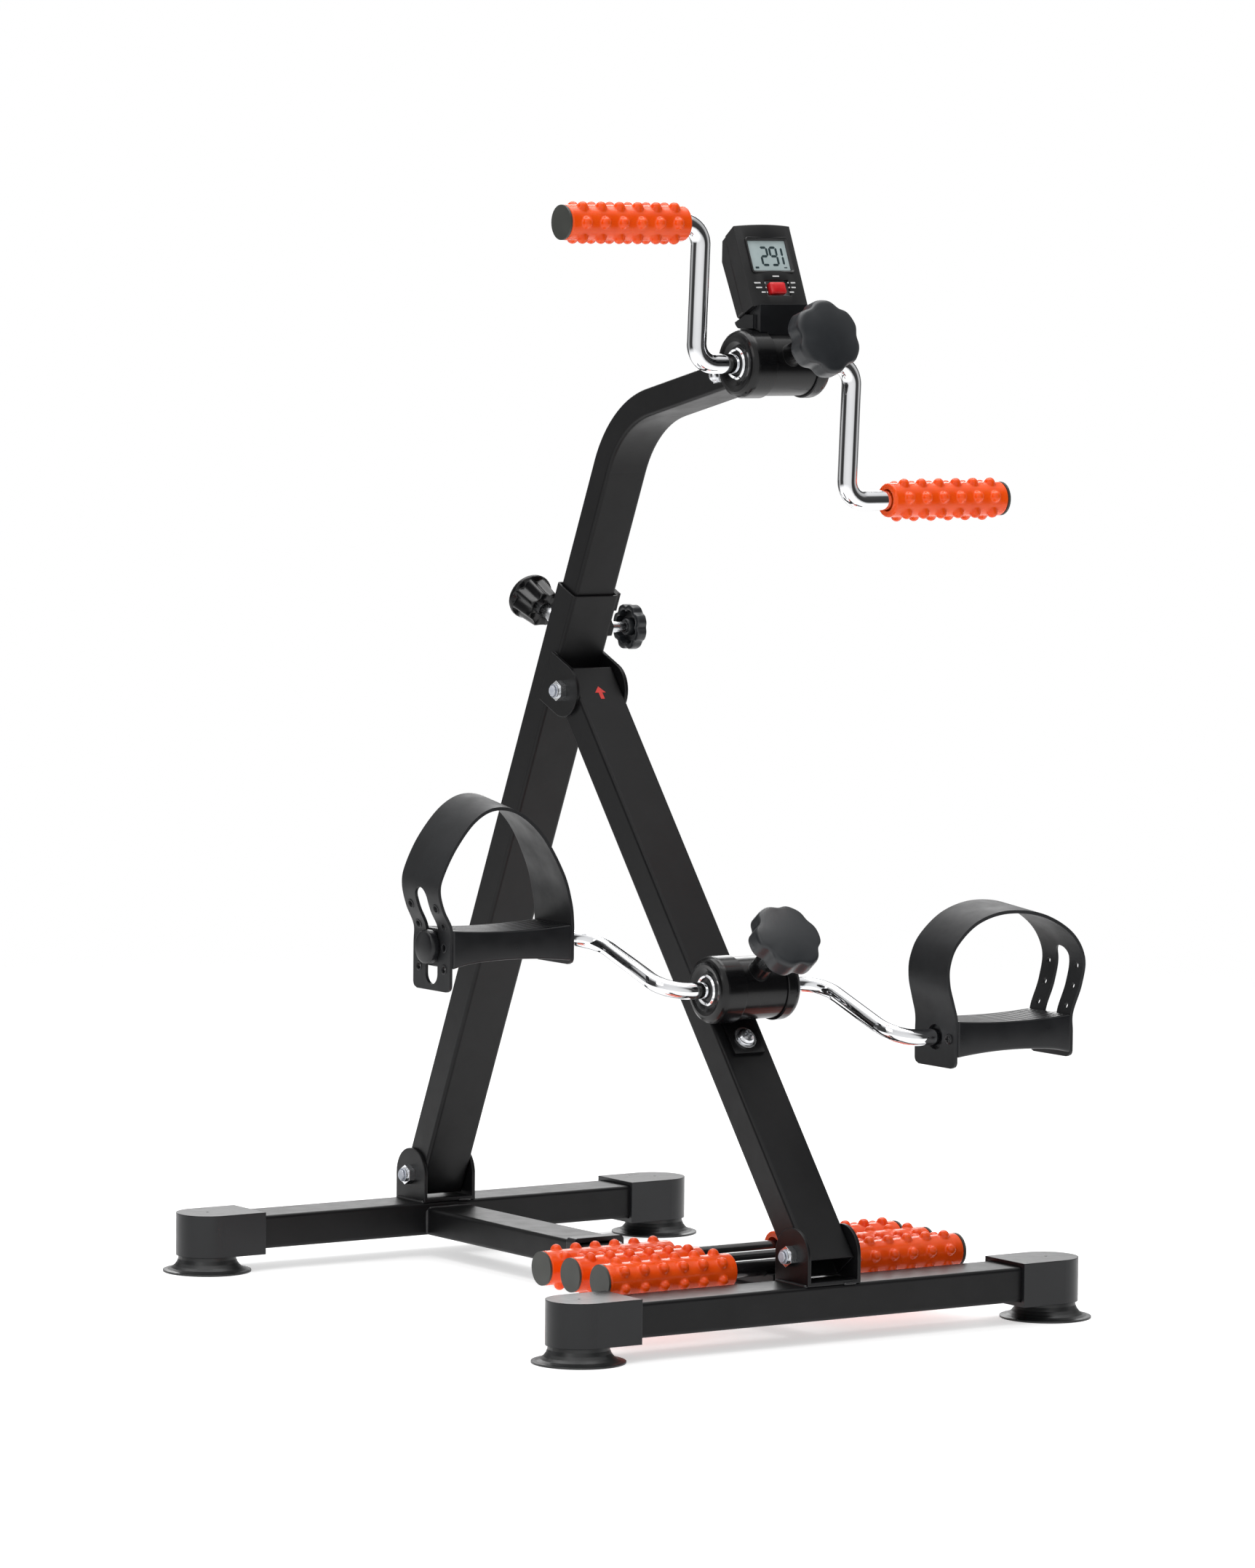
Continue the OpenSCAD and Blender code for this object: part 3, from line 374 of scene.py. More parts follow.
def colour_looks():
    orange = Look("orange_grip")
    base = orange.colours((0.86, 0.076, 0.002), (0.95, 0.094, 0.004), 55)
    # painted highlight: lighter orange along the sleeves' rounded edges
    orange.painted_edge_highlight(base, (0.95, 0.14, 0.015), 0.25, 1.0)
    orange.rough(0.2, 0.3, 70)
    orange.relief((700, 0.006), (180, 0.012))
    orange.set(Subsurface_Weight=0.2, Subsurface_Scale=0.003, Coat_Weight=0.08, Coat_Roughness=0.12,
               Specular_IOR_Level=0.34)
    orange.shader.inputs["Subsurface Radius"].default_value = (1.0, 0.25, 0.08)

    red = Look("mode_red")
    red.colours((0.62, 0.012, 0.016), (0.72, 0.018, 0.022), 200)
    red.rough(0.26, 0.36, 300)
    red.relief((2500, 0.01), edge=0.5)
    red.set(Subsurface_Weight=0.15, Subsurface_Scale=0.002)

    lcd = Look("lcd")
    lcd.colours((0.42, 0.51, 0.515), (0.52, 0.61, 0.615), 35)
    lcd.rough(0.3, 0.4, 200)
    lcd.relief((1500, 0.004))
    lcd.set(Coat_Weight=0.6, Coat_Roughness=0.05)

    ink = Look("lcd_ink")
    ink.colours((0.012, 0.03, 0.035), (0.02, 0.045, 0.05), 200)
    ink.rough(0.3, 0.4, 200)
    ink.relief((2000, 0.003))

    label = Look("white_print")
    label.colours((0.62, 0.62, 0.62), (0.75, 0.75, 0.75), 600)
    label.rough(0.45, 0.6, 500)
    label.relief((3000, 0.01))

    mark = Look("red_print")
    mark.colours((0.55, 0.02, 0.015), (0.68, 0.03, 0.02), 300)
    mark.rough(0.4, 0.5, 300)
    mark.relief((3000, 0.006))

    insert = Look("nut_insert")
    insert.colours((0.42, 0.45, 0.52), (0.55, 0.58, 0.64), 300)
    insert.rough(0.35, 0.5, 300)
    insert.relief((2000, 0.01))


def soften(name, width):
    """Rounds the sharp edges of a CAD node with modifiers."""
    obj = frame["nodes"][name]
    weld = obj.modifiers.new("weld", "WELD")
    weld.merge_threshold = 0.00002
    bevel = obj.modifiers.new("round", "BEVEL")
    bevel.width = width * MM
    bevel.segments = 4
    bevel.limit_method = "ANGLE"
    bevel.angle_limit = math.radians(50)
    bevel.use_clamp_overlap = True
    bevel.harden_normals = False


def dress_cad_nodes():
    for name, obj in frame["nodes"].items():
        obj.data.materials.clear()
        obj.data.materials.append(MATERIALS[SLOT_OF[name]])


# ---------------------------------------------------------------- bumpy sleeves

SLEEVE_R = 12.3
SLEEVE_WALL = 4.2
SLEEVE_EDGE = 1.6   # rounding of the sleeve's ends
BUMP_R = 4.0
BUMP_ROWS = 6
BUMP_COUNT = 6
CELL_SIDE = 6       # mesh steps along one side of a bump's patch
GRIP_PITCH = 15.3
ROLLER_PITCH = 16.6


def cell_point(x, s, h):
    """Point on the sleeve at x along it and arc length s round it, h above the surface."""
    a = s / SLEEVE_R
    r = SLEEVE_R + h
    return Vector((x, r * math.sin(a), r * math.cos(a)))


def bump_cell(bm, x0, half_x, half_s, turn):
    """One patch of the sleeve with a round bump in its middle; its edges merge later."""
    n = 4 * CELL_SIDE
    square = []
    for k in range(n):
        side, t = divmod(k, CELL_SIDE)
        t = t / CELL_SIDE * 2 - 1
        square.append([(1, t), (-t, 1), (-1, -t), (t, -1)][side])
    angles = [math.radians(-45 + 360 * k / n) for k in range(n)]
    spin = Matrix.Rotation(turn, 3, "X")
    rows = []
    flat = [(1.0, 0, 0), (0.45, 5.2, 0), (0, 5.0, 0), (0, 4.62, 0.1), (0, 4.3, 0.34)]
    for share, d, h in flat:
        row = []
        for (u, v), a in zip(square, angles):
            x = share * u * half_x + (1 - share) * d * math.cos(a)
            s = share * v * half_s + (1 - share) * d * math.sin(a)
            row.append(cell_point(x, s, h))
        rows.append(row)
    for step in range(8):
        phi = math.radians(11 + 10.2 * step)
        d, h = BUMP_R * math.cos(phi) + 0.02, BUMP_R * math.sin(phi)
        rows.append([Vector((d * math.cos(a), d * math.sin(a), SLEEVE_R + h)) for a in angles])
    offset = Vector((x0, 0, 0))
    loops = [ring(bm, [spin @ p + offset for p in row]) for row in rows]
    for a, b in zip(loops, loops[1:]):
        bridge(bm, a, b)
    fan(bm, loops[-1], spin @ Vector((0, 0, SLEEVE_R + BUMP_R)) + offset)


def sleeve(name, node, body, centre, pitch, turn, outward):
    """Bumpy vinyl sleeve in place of a CAD sleeve. outward is +1 when its outer end is at +X."""
    low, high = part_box(node)
    length = (high.x - low.x) / MM
    half_s = math.pi * SLEEVE_R / BUMP_ROWS
    first = length / 2 - pitch * (BUMP_COUNT - 1) / 2
    bm = bmesh.new()
    for row in range(BUMP_ROWS):
        for i in range(BUMP_COUNT):
            bump_cell(bm, first + i * pitch, pitch / 2, half_s, TAU * row / BUMP_ROWS + turn)
    bore = SLEEVE_R - SLEEVE_WALL
    edge = SLEEVE_EDGE
    ends = ((-1, first - pitch / 2, 0.0), (1, first + pitch * (BUMP_COUNT - 0.5), length))

    def ring_in_order(x, r):
        """Ring whose points meet the patches' corners."""
        pts = []
        for row in range(BUMP_ROWS):
            for t in range(CELL_SIDE):
                s = (t / CELL_SIDE * 2 - 1) * math.pi / BUMP_ROWS
                base = Vector((x, r * math.sin(s), r * math.cos(s)))
                pts.append(Matrix.Rotation(-(TAU * row / BUMP_ROWS) + turn, 3, "X") @ base)
        return pts

    for sign, x_patch, x_end in ends:
        rings = [(x_patch, SLEEVE_R), ((x_patch + x_end) / 2, SLEEVE_R)]
        rings += [(x_end - sign * (edge - y), SLEEVE_R - edge + x) for x, y in arc(0, 0, edge, 0, 90, 5)]
        rings += [(x_end, bore)]
        if sign < 0:
            rings += [(x_end + 6, bore)]
        loops = [ring(bm, ring_in_order(x, r)) for x, r in rings]
        for a, b in zip(loops, loops[1:]):
            bridge(bm, a, b)
        if sign < 0:
            inner = loops[-1]
        else:
            outer = loops[-1]
    bridge(bm, inner, outer)
    if outward < 0:
        place = Matrix.Translation(Vector((high.x, centre.y, centre.z))) @ Matrix.Scale(-1, 4, (1, 0, 0))
    else:
        place = Matrix.Translation(Vector((low.x, centre.y, centre.z)))
    return finish_mesh(name, bm, place, "orange_grip", body, 60, (node,))


def sleeves():
    for side, sign, turn in (("left", -1, 0.52), ("right", 1, 0.35)):
        sleeve(f"{side}_grip_sleeve", f"{side}_grip", f"{side}_hand_grip", pos(f"{side}_grip_spin"),
               GRIP_PITCH, turn, sign)
    turns = {"front": 0.1, "middle": 0.55, "rear": 0.0}
    for row, turn in turns.items():
        for side, sign in (("left", -1), ("right", 1)):
            node = f"roller_{row}_{side}"
            sleeve(node + "_sleeve", node, node + "_body", pos(node + "_spin"),
                   ROLLER_PITCH, turn + 0.2 * sign, sign)


# ---------------------------------------------------------------- knobs

def lobes(count, depth, sharp):
    """Cut into a knob's radius: count finger scallops between count broad lobes."""
    def cut(a):
        return depth * (0.5 + 0.5 * math.cos(count * a)) ** sharp
    return cut


def lobed_knob(name, node, body, place, r, h, count, depth, stud):
    """Hand knob along +Z from its back rim, with a crowned front and a recess round its hub."""
    rim = [(r - 1.0, 0.0, 0.9), (r - 0.3, 0.35, 1.0), (r, 1.1, 1.0)]
    edge, dome = h * 0.24, h * 0.15
    side = [(r, h * 0.3, 1.0), (r, h - dome - edge, 1.0)]
    shoulder = [(r - edge + x, h - dome - edge + y, 1.0 - 0.6 * i / 6)
                for i, (x, y) in enumerate(arc(0, 0, edge, 8, 74, 6))]
    flat = r - edge
    top = [(flat * t, h - dome * t * t, 0.34 * t ** 4) for t in (0.96, 0.85, 0.7, 0.5, 0.3, 0.15)]
    top.append((0, h, 0))
    hub = r * 0.36
    back = [(0, h * 0.5, 0), (stud + 0.15, h * 0.5, 0), (stud + 0.15, 0.3, 0), (stud + 0.7, -0.2, 0),
            (hub - 0.5, -0.2, 0), (hub, 0.4, 0), (hub + 0.3, h * 0.52, 0), (r - 5.2, h * 0.52, 0.8),
            (r - 4.0, 0.5, 0.9), (r - 3.0, 0.0, 0.9)]
    bm = bmesh.new()
    revolve(bm, back + rim + side + shoulder + top, 192, lobes(count, depth, 2.4))
    return finish_mesh(name, bm, place, "knob_black", body, 40, (node,))


def knobs():
    near = 55.5     # from a crank's axis to the back rim of its tension knob
    for unit, origin, turn in (("upper", HAND.translation, 0.0), ("lower", FOOT.translation, math.pi / 6)):
        out = -axis(f"{unit}_brake_travel")
        place = frame_at(origin, out) @ shift(z=near) @ Matrix.Rotation(turn, 4, "Z")
        lobed_knob(f"{unit}_tension_handwheel", f"{unit}_tension_knob", f"{unit}_tensioner", place,
                   26.8, 17, 6, 3.3, 4)
    low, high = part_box("clamp_knob")
    centre = (low + high) / 2
    place = frame_at((low.x, centre.y, centre.z), (1, 0, 0), (0, 0, 1))
    lobed_knob("clamp_handwheel", "clamp_knob", "clamp_turn", place, 17.1, 10.5, 8, 2.0, 4)
    pull_handle()


def pull_handle():
    """Fluted pull knob with a domed end, on the height pin."""
    near, length, r = 44.0, 27.0, 17.6
    pin_along = 457.5
    place = UPRIGHT @ shift(y=near, z=pin_along) @ Matrix.Rotation(-math.pi / 2, 4, "X")
    profile = [(0, 9, 0), (5.2, 9, 0), (5.2, 0.4, 0), (5.8, 0, 0), (12.4, 0, 0.1), (13.5, 0.5, 0.5),
               (14.3, 1.6, 0.9)]
    profile += [(14.3 + 2.0 * t, 1.6 + (length - 8.6) * t, 1.0) for t in (0.2, 0.4, 0.6, 0.8, 0.95, 1.0)]
    profile += [(r - 0.7, length - 6.2, 0.55), (r - 0.2, length - 5.6, 0.1), (r, length - 4.8, 0),
                (r, length - 3.6, 0), (r - 0.4, length - 2.4, 0), (r - 1.4, length - 1.2, 0),
                (r - 3.2, length - 0.4, 0), (r - 6, length, 0), (4, length, 0), (0, length, 0)]
    bm = bmesh.new()
    revolve(bm, profile, 192, lobes(8, 2.5, 0.85))
    finish_mesh("pull_handle", bm, place, "gloss_black", "height_lock", 40, ("height_knob",))


# ---------------------------------------------------------------- pedals and straps

PEDAL_X = 103.0
PEDAL_LEN = 100.0
PEDAL_DEPTH = 50.0
PEDAL_H = 26.0
PEDAL_EDGE = 1.8


def pedal_frame(side):
    joint = "left_pedal_spin" if side < 0 else "right_pedal_spin"
    centre = pos(joint)
    m = Matrix.Translation(Vector((0, centre.y, centre.z)))
    return m @ Matrix.Scale(-1, 4, (1, 0, 0)) if side < 0 else m


def pedal_section(x):
    """(top, bottom) of the waisted pedal at x from its inner end, with a flared lip at the outer end."""
    t = x / PEDAL_LEN * 2 - 1
    top = PEDAL_H / 2 - 2.2 * (1 - t * t)
    bottom = -PEDAL_H / 2 + 3.2 * (1 - t * t)
    lip = max(0.0, (x - 80) / 20)
    return top, bottom - 1.6 * lip * lip


def pedal_body(name, side, body, node):
    """Pedal block: a loft of rounded sections with grooves along its tread."""
    bm = bmesh.new()
    half = PEDAL_DEPTH / 2
    stations = [0, 0.25, 0.8, 1.6, 4, 6, 8]
    stations += [8 + 84 * i / 16 for i in range(1, 17)]
    stations += [94, 96, 98.4, 99.2, 99.75, 100]
    loops = []
    for x in stations:
        top, bottom = pedal_section(x)
        inset = max(0.0, 0.9 - x, 0.9 - (PEDAL_LEN - x)) * 0.9
        top, bottom, w = top - inset, bottom + inset, half - inset
        run_in, run_out = (x - 4) / 2, (PEDAL_LEN - 4 - x) / 2
        groove_depth = 1.3 * min(1.0, max(0.0, run_in)) * min(1.0, max(0.0, run_out))
        pts = []
        r = PEDAL_EDGE
        corners = ((w - r, top - r, 90), (w - r, bottom + r, 0),
                   (r - w, bottom + r, -90), (r - w, top - r, -180))
        for cy, cz, a0 in corners:
            pts += arc(cy, cz, r, a0, a0 - 90, 4)
        for y in range(-20, 21, 5):
            for dy, dz in ((-1.1, 0), (-0.7, 1), (0.7, 1), (1.1, 0)):
                pts.append((y + dy, top - dz * groove_depth))
        loops.append(ring(bm, [(PEDAL_X + x, y, z) for y, z in pts]))
    for a, b in zip(loops, loops[1:]):
        bridge(bm, a, b)
    bm.faces.new(loops[0])
    bm.faces.new(loops[-1])
    finish_mesh(name, bm, pedal_frame(side), "black_moulding", body, 32, (node,))


def spindle_cap(name, side, body):
    """Domed disc at the pedal's outer end, over the strap's slot, on a short collar."""
    start = PEDAL_X + PEDAL_LEN - 0.1
    r = 12.2
    profile = [(0, 0, 0), (5.6, 0, 0), (5.6, 3.4, 0), (r - 1, 3.4, 0), (r - 0.2, 3.8, 0), (r, 4.8, 0),
               (r, 7.2, 0)]
    profile += [(r - 2.6 + x, 7.2 + y * 1.1, 0) for x, y in arc(0, 0, 2.6, 15, 80, 5)]
    profile += [(6, 10.5, 0), (3, 10.8, 0), (0, 10.9, 0)]
    bm = bmesh.new()
    revolve(bm, profile, 72)
    place = pedal_frame(side) @ shift(x=start) @ Matrix.Rotation(math.pi / 2, 4, "Y")
    finish_mesh(name, bm, place, "black_moulding", body, 40)


STRAP_T = 2.4
HOLE_PITCH = 15.3
HOLE_V = 16.4       # hole rows each side of the strap's middle line
SCREW_V = -17.0


def strap_path(arch, tab, tail, steps=10):
    xi = PEDAL_X - STRAP_T / 2 - 0.2
    xo = PEDAL_X + PEDAL_LEN + STRAP_T / 2 + 0.2
    up = PEDAL_H / 2 + 1
    points = [(xi, -tab), (xi, 0), (xi, up)] + list(arch) + [(xo, up), (xo, 0), (xo, -tail)]
    return spline(points, steps)


class Strap:
    """Flat moulded strap: a sheet of (u along, v across) bent along a path, with real holes."""

    def __init__(self, arch, tab, tail, shear):
        self.path = strap_path(arch, tab, tail)
        self.shear = shear
        self.lengths = [0.0]
        for a, b in zip(self.path, self.path[1:]):
            self.lengths.append(self.lengths[-1] + (b - a).length)
        self.total = self.lengths[-1]

    def at(self, u):
        """(point, normal, direction) of the path at length u."""
        u = min(max(u, 0.0), self.total)
        i = 0
        while i < len(self.lengths) - 2 and self.lengths[i + 1] < u:
            i += 1
        t = (u - self.lengths[i]) / (self.lengths[i + 1] - self.lengths[i])

        def direction(k):
            a = self.path[max(k - 1, 0)]
            b = self.path[min(k + 1, len(self.path) - 1)]
            return (b - a).normalized()
        d = direction(i).lerp(direction(i + 1), t).normalized()
        p = self.path[i].lerp(self.path[i + 1], t)
        return p, Vector((-d.y, d.x)), d

    def width(self, u):
        """Half width: full at the ends, a little narrower over the foot."""
        s = u / self.total
        waist = math.sin(math.pi * min(max((s - 0.12) / 0.62, 0), 1)) ** 2
        half = 24.0 - 3.2 * waist
        corner = 5.0
        for end in (u, self.total - u):
            if end < corner:
                half -= corner - math.sqrt(max(corner ** 2 - (corner - end) ** 2, 0))
        return half

    def place(self, u, v, lift):
        p, n, _ = self.at(u)
        s = u / self.total
        arch = math.sin(math.pi * min(max((s - 0.1) / 0.75, 0), 1))
        lean = self.shear * arch * v
        q = p + n * lift
        return Vector((q.x, v, q.y + lean))


def sheet(strap, holes, step=1.5):
    """Grid over the strap, with the nodes next to a hole moved onto its outline.

    Holes are stadiums (u0, u1, v, radius). Returns the nodes' (u, v) and the faces' nodes."""
    nu = int(strap.total / step)
    nv = 34
    grid = {}

    def nearest(u, v):
        best = None
        for u0, u1, vc, r in holes:
            c = min(max(u, u0), u1)
            d = math.hypot(u - c, v - vc) - r
            if best is None or d < best[0]:
                best = (d, c, vc, r)
        return best

    cell = {}
    for i in range(nu + 1):
        u = strap.total * i / nu
        half = strap.width(u)
        for j in range(nv + 1):
            v = half * (2 * j / nv - 1)
            cell[i, j] = (u, v)
    inside = {}
    snapped = {}
    reach = step * 0.52
    for key, (u, v) in cell.items():
        d, c, vc, r = nearest(u, v)
        inside[key] = d < -1e-6
        if abs(d) < reach:
            a = math.atan2(v - vc, u - c) if abs(d + r) > 1e-6 else 0.0
            snapped[key] = (c + r * math.cos(a), vc + r * math.sin(a))
            inside[key] = False
    faces = []
    for i in range(nu):
        for j in range(nv):
            corners = [(i, j), (i + 1, j), (i + 1, j + 1), (i, j + 1)]
            mid_u = sum(snapped.get(k, cell[k])[0] for k in corners) / 4
            mid_v = sum(snapped.get(k, cell[k])[1] for k in corners) / 4
            if nearest(mid_u, mid_v)[0] < 0 or any(inside[k] for k in corners):
                kept = [k for k in corners if not inside[k]]
                middle = [sum(snapped.get(k, cell[k])[q] for k in kept) / 3 for q in (0, 1)]
                if len(kept) == 3 and nearest(*middle)[0] > 0:
                    faces.append(kept)
                continue
            faces.append(corners)
    for face in faces:
        for key in face:
            grid.setdefault(key, snapped.get(key, cell[key]))
    return grid, faces


def strap_piece(name, side, body, node, arch, tab, tail, slot_up, shear):
    """Foot strap with a long slot between two rows of holes in its outer tab.

    slot_up is how far the slot's upper end is above the spindle."""
    strap = Strap(arch, tab, tail, shear)
    outer_level = strap.total - tail        # length at the spindle's level
    slot = (outer_level - slot_up, outer_level + tail - 12, 0.0, 7.8)
    rows = [outer_level - slot_up + 6 + k * HOLE_PITCH for k in range(4)]
    holes = [slot]
    for u in rows:
        for v in (-HOLE_V, HOLE_V):
            holes.append((u, u, v, 2.3))
    holes.append((tab, tab, 0.0, 9.0))
    holes.append((tab, tab, SCREW_V, 2.0))
    bm = bmesh.new()
    grid, faces = sheet(strap, holes)
    layers = []
    for lift in (STRAP_T / 2, -STRAP_T / 2):
        layers.append({k: bm.verts.new(strap.place(u, v, lift)) for k, (u, v) in grid.items()})
    edges = {}
    for face in faces:
        bm.faces.new([layers[0][k] for k in face])
        bm.faces.new([layers[1][k] for k in reversed(face)])
        for a, b in zip(face, face[1:] + face[:1]):
            edges[a, b] = edges.get((a, b), 0) + 1
    for a, b in edges:
        if (b, a) not in edges:
            bm.faces.new((layers[0][b], layers[0][a], layers[1][a], layers[1][b]))
    place = pedal_frame(side)
    obj = finish_mesh(name, bm, place, "strap_black", body, 40, (node,))
    bevel = obj.modifiers.new("soft_edges", "BEVEL")
    bevel.width = 0.55 * MM
    bevel.segments = 2
    bevel.limit_method = "ANGLE"
    bevel.angle_limit = math.radians(50)
    apply_modifiers(obj)
    eyelets(name + "_eyelets", strap, holes[1:-2], place, body)
    strap_screw(name + "_screws", strap, tab, place, body)


def apply_modifiers(obj):
    depsgraph = bpy.context.evaluated_depsgraph_get()
    mesh = bpy.data.meshes.new_from_object(obj.evaluated_get(depsgraph))
    obj.modifiers.clear()
    obj.data = mesh


def frame_on_strap(strap, u, v, lift):
    _, n, d = strap.at(u)
    z = Vector((n.x, 0, n.y))
    x = Vector((d.x, 0, d.y))
    m = Matrix((x, z.cross(x), z)).transposed().to_4x4()
    m.translation = strap.place(u, v, lift)
    return m


def washer(bm, m, r_in, r_out, h, sink=0.3):
    """Raised rounded rim round a hole, standing on the plane of m."""
    section = [(r_in, -sink), (r_in, h * 0.55), (r_in + 0.35, h), (r_out - 0.5, h), (r_out, h * 0.4),
               (r_out, -sink)]
    loops = []
    for r, z in section:
        loops.append(ring(bm, [m @ Vector((r * math.cos(TAU * i / 24), r * math.sin(TAU * i / 24), z))
                               for i in range(24)]))
    for a, b in zip(loops, loops[1:] + loops[:1]):
        bridge(bm, a, b)


def eyelets(name, strap, holes, place, body):
    bm = bmesh.new()
    for u, _, v, r in holes:
        washer(bm, frame_on_strap(strap, u, v, STRAP_T / 2), r, r + 1.3, 0.6)
    finish_mesh(name, bm, place, "strap_black", body, 40)


def strap_screw(name, strap, tab, place, body):
    """Cross-head screw that holds the strap to the pedal's inner end."""
    bm = bmesh.new()
    screw_head(bm, frame_on_strap(strap, tab, SCREW_V, STRAP_T / 2), 3.7, 1.6)
    finish_mesh(name, bm, place, "black_moulding", body, 35)


def screw_head(bm, m, r, h):
    """Pan head with a cross recess, built as a star-shaped fan of rings."""
    n = 48
    arm, width = r * 0.62, r * 0.16

    def recess(a):
        c, s = abs(math.cos(a)), abs(math.sin(a))
        if min(c, s) * arm < width:
            return arm
        return width / min(c, s) if min(c, s) > 0 else arm

    rows = [[(r, -0.4)] * n, [(r, h * 0.45)] * n, [(r * 0.9, h * 0.8)] * n, [(r * 0.72, h)] * n]
    star = [min(recess(TAU * i / n) * 1.25, r * 0.66) for i in range(n)]
    rows.append([(d, h) for d in star])
    rows.append([(d * 0.9, h * 0.25) for d in star])
    loops = []
    for row in rows:
        loops.append(ring(bm, [m @ Vector((d * math.cos(TAU * i / n), d * math.sin(TAU * i / n), z))
                               for i, (d, z) in enumerate(row)]))
    for a, b in zip(loops, loops[1:]):
        bridge(bm, a, b)
    fan(bm, loops[-1], m @ Vector((0, 0, h * 0.2)))
    fan(bm, loops[0], m @ Vector((0, 0, -0.4)))


LEFT_ARCH = ((103.5, 30), (110, 52), (126, 80), (146, 97), (166, 101), (184, 93), (201, 74), (212, 54),
             (214.5, 42), (211, 28))
RIGHT_ARCH = ((98.5, 26), (95, 40), (95.5, 54), (103, 69), (122, 84), (148, 90.5), (178, 87), (203, 73),
              (214.5, 54), (212, 34))


def pedals():
    pedal_body("left_pedal_block", -1, "left_foot_pedal", "left_pedal")
    pedal_body("right_pedal_block", 1, "right_foot_pedal", "right_pedal")
    spindle_cap("left_spindle_cap", -1, "left_foot_pedal")
    spindle_cap("right_spindle_cap", 1, "right_foot_pedal")
    strap_piece("left_foot_strap", -1, "left_foot_pedal", "left_strap", LEFT_ARCH, 16, 31, 37, 0.17)
    strap_piece("right_foot_strap", 1, "right_foot_pedal", "right_strap", RIGHT_ARCH, 21, 18, 55, 0.1)


# ---------------------------------------------------------------- display

SEGMENTS = {"2": "abged", "9": "abcdfg", "1": "bc"}
PRINT_T = 0.12
WINDOW_Z = 38.2
BUTTON_Z = 13.0


def digit(bm, left, base, w, h, t, segments):
    """Seven-segment digit in the panel's plane, as thin bevelled bars."""
    mid = base + h / 2
    top = base + h
    g = t * 0.62
    bars = {
        "a": ((left, top), (left + w, top)),
        "b": ((left + w, mid), (left + w, top)),
        "c": ((left + w, base), (left + w, mid)),
        "d": ((left, base), (left + w, base)),
        "e": ((left, base), (left, mid)),
        "f": ((left, mid), (left, top)),
        "g": ((left, mid), (left + w, mid)),
    }
    for s in segments:
        (x0, z0), (x1, z1) = bars[s]
        a, b = Vector((x0, z0)), Vector((x1, z1))
        d = (b - a).normalized()
        n = Vector((-d.y, d.x)) * t / 2
        a, b = a + d * g, b - d * g
        outline = [a - d * t / 2, a + n, b + n, b + d * t / 2, b - n, a - n]
        flat_prism(bm, outline, 0.0, PRINT_T)


def flat_prism(bm, outline, y0, depth):
    """Prism standing depth proud, towards -Y, of the plane y = y0, from an outline in X and Z."""
    back = ring(bm, [(p.x, y0, p.y) for p in outline])
    front = ring(bm, [(p.x, y0 - depth, p.y) for p in outline])
    bridge(bm, back, front)
    bm.faces.new(front)
    bm.faces.new(list(reversed(back)))


def rounded_outline(cx, cz, w, h, r, steps=4):
    pts = []
    for sx, sz, a0 in ((1, 1, 0), (-1, 1, 90), (-1, -1, 180), (1, -1, 270)):
        pts += arc(cx + sx * (w / 2 - r), cz + sz * (h / 2 - r), r, a0, a0 + 90, steps)
    return [Vector(p) for p in pts]


def display():
    bm = bmesh.new()
    panel_y = -0.62
    for left, key in ((-6.4, "2"), (1.6, "9"), (6.2, "1")):
        digit(bm, left, 31.2, 5.4, 13.2, 1.7, SEGMENTS[key])
    flat_prism(bm, rounded_outline(-12.2, 29.2, 3.0, 1.4, 0.3), 0.0, PRINT_T)
    flat_prism(bm, rounded_outline(12.2, 29.2, 2.6, 0.7, 0.2), 0.0, PRINT_T)
    finish_mesh("lcd_digits", bm, CASE @ shift(y=panel_y), "lcd_ink", "mast", 30)
    window_bezel()
    red_button()
    print_marks()


def face_loop(bm, w, h, r, cz, y):
    """Rounded rectangle in the case's front plane, at the height y."""
    return ring(bm, [(p.x, y, p.y) for p in rounded_outline(0, cz, w, h, r, 5)])


def window_bezel():
    """Sloped frame between the case's face and the sunken panel."""
    bm = bmesh.new()
    section = ((36.6, 27.2, 2.2, -0.9), (36.6, 27.2, 2.2, -2.5), (35.8, 26.4, 2.0, -2.9),
               (34.6, 25.2, 1.6, -2.7), (31.8, 22.6, 0.6, -0.9))
    loops = [face_loop(bm, w, h, r, WINDOW_Z, y) for w, h, r, y in section]
    for a, b in zip(loops, loops[1:] + loops[:1]):
        bridge(bm, a, b)
    finish_mesh("window_bezel", bm, CASE, "case_black", "mast", 40)


def red_button():
    """Pillowed button with rounded edges."""
    bm = bmesh.new()
    w, h = 13.2, 8.6
    rows = ((0, 0.0, 1.2), (0, -3.4, 1.2), (0.25, -4.3, 1.3), (0.8, -4.9, 1.5), (1.7, -5.2, 1.6),
            (3.2, -5.35, 1.0))
    loops = [face_loop(bm, w - 2 * inset, h - 2 * inset, r, BUTTON_Z, y) for inset, y, r in rows]
    for a, b in zip(loops, loops[1:]):
        bridge(bm, a, b)
    bm.faces.new(loops[-1])
    bm.faces.new(list(reversed(loops[0])))
    finish_mesh("mode_button_cap", bm, CASE @ shift(y=1.2), "mode_red", "mode_key", 40, ("mode_button",))


def print_marks():
    """Plain bars where the real case has printed words."""
    bm = bmesh.new()
    bars = [(0.0, 21.6, 5.6)]
    for z, w in ((17.0, 9.6), (13.4, 8.8), (9.8, 5.2)):
        bars.append((-9.4 - w / 2, z, w))
        bars.append((9.4 + w * 0.35, z, w * 0.7))
    for x, z, w in bars:
        y = -3.0 + x * x / 192 - 0.03
        flat_prism(bm, rounded_outline(x, z, w, 1.0, 0.3, 2), y + 0.25, 0.3)
    finish_mesh("case_marks", bm, CASE, "white_print", "mast", 30)


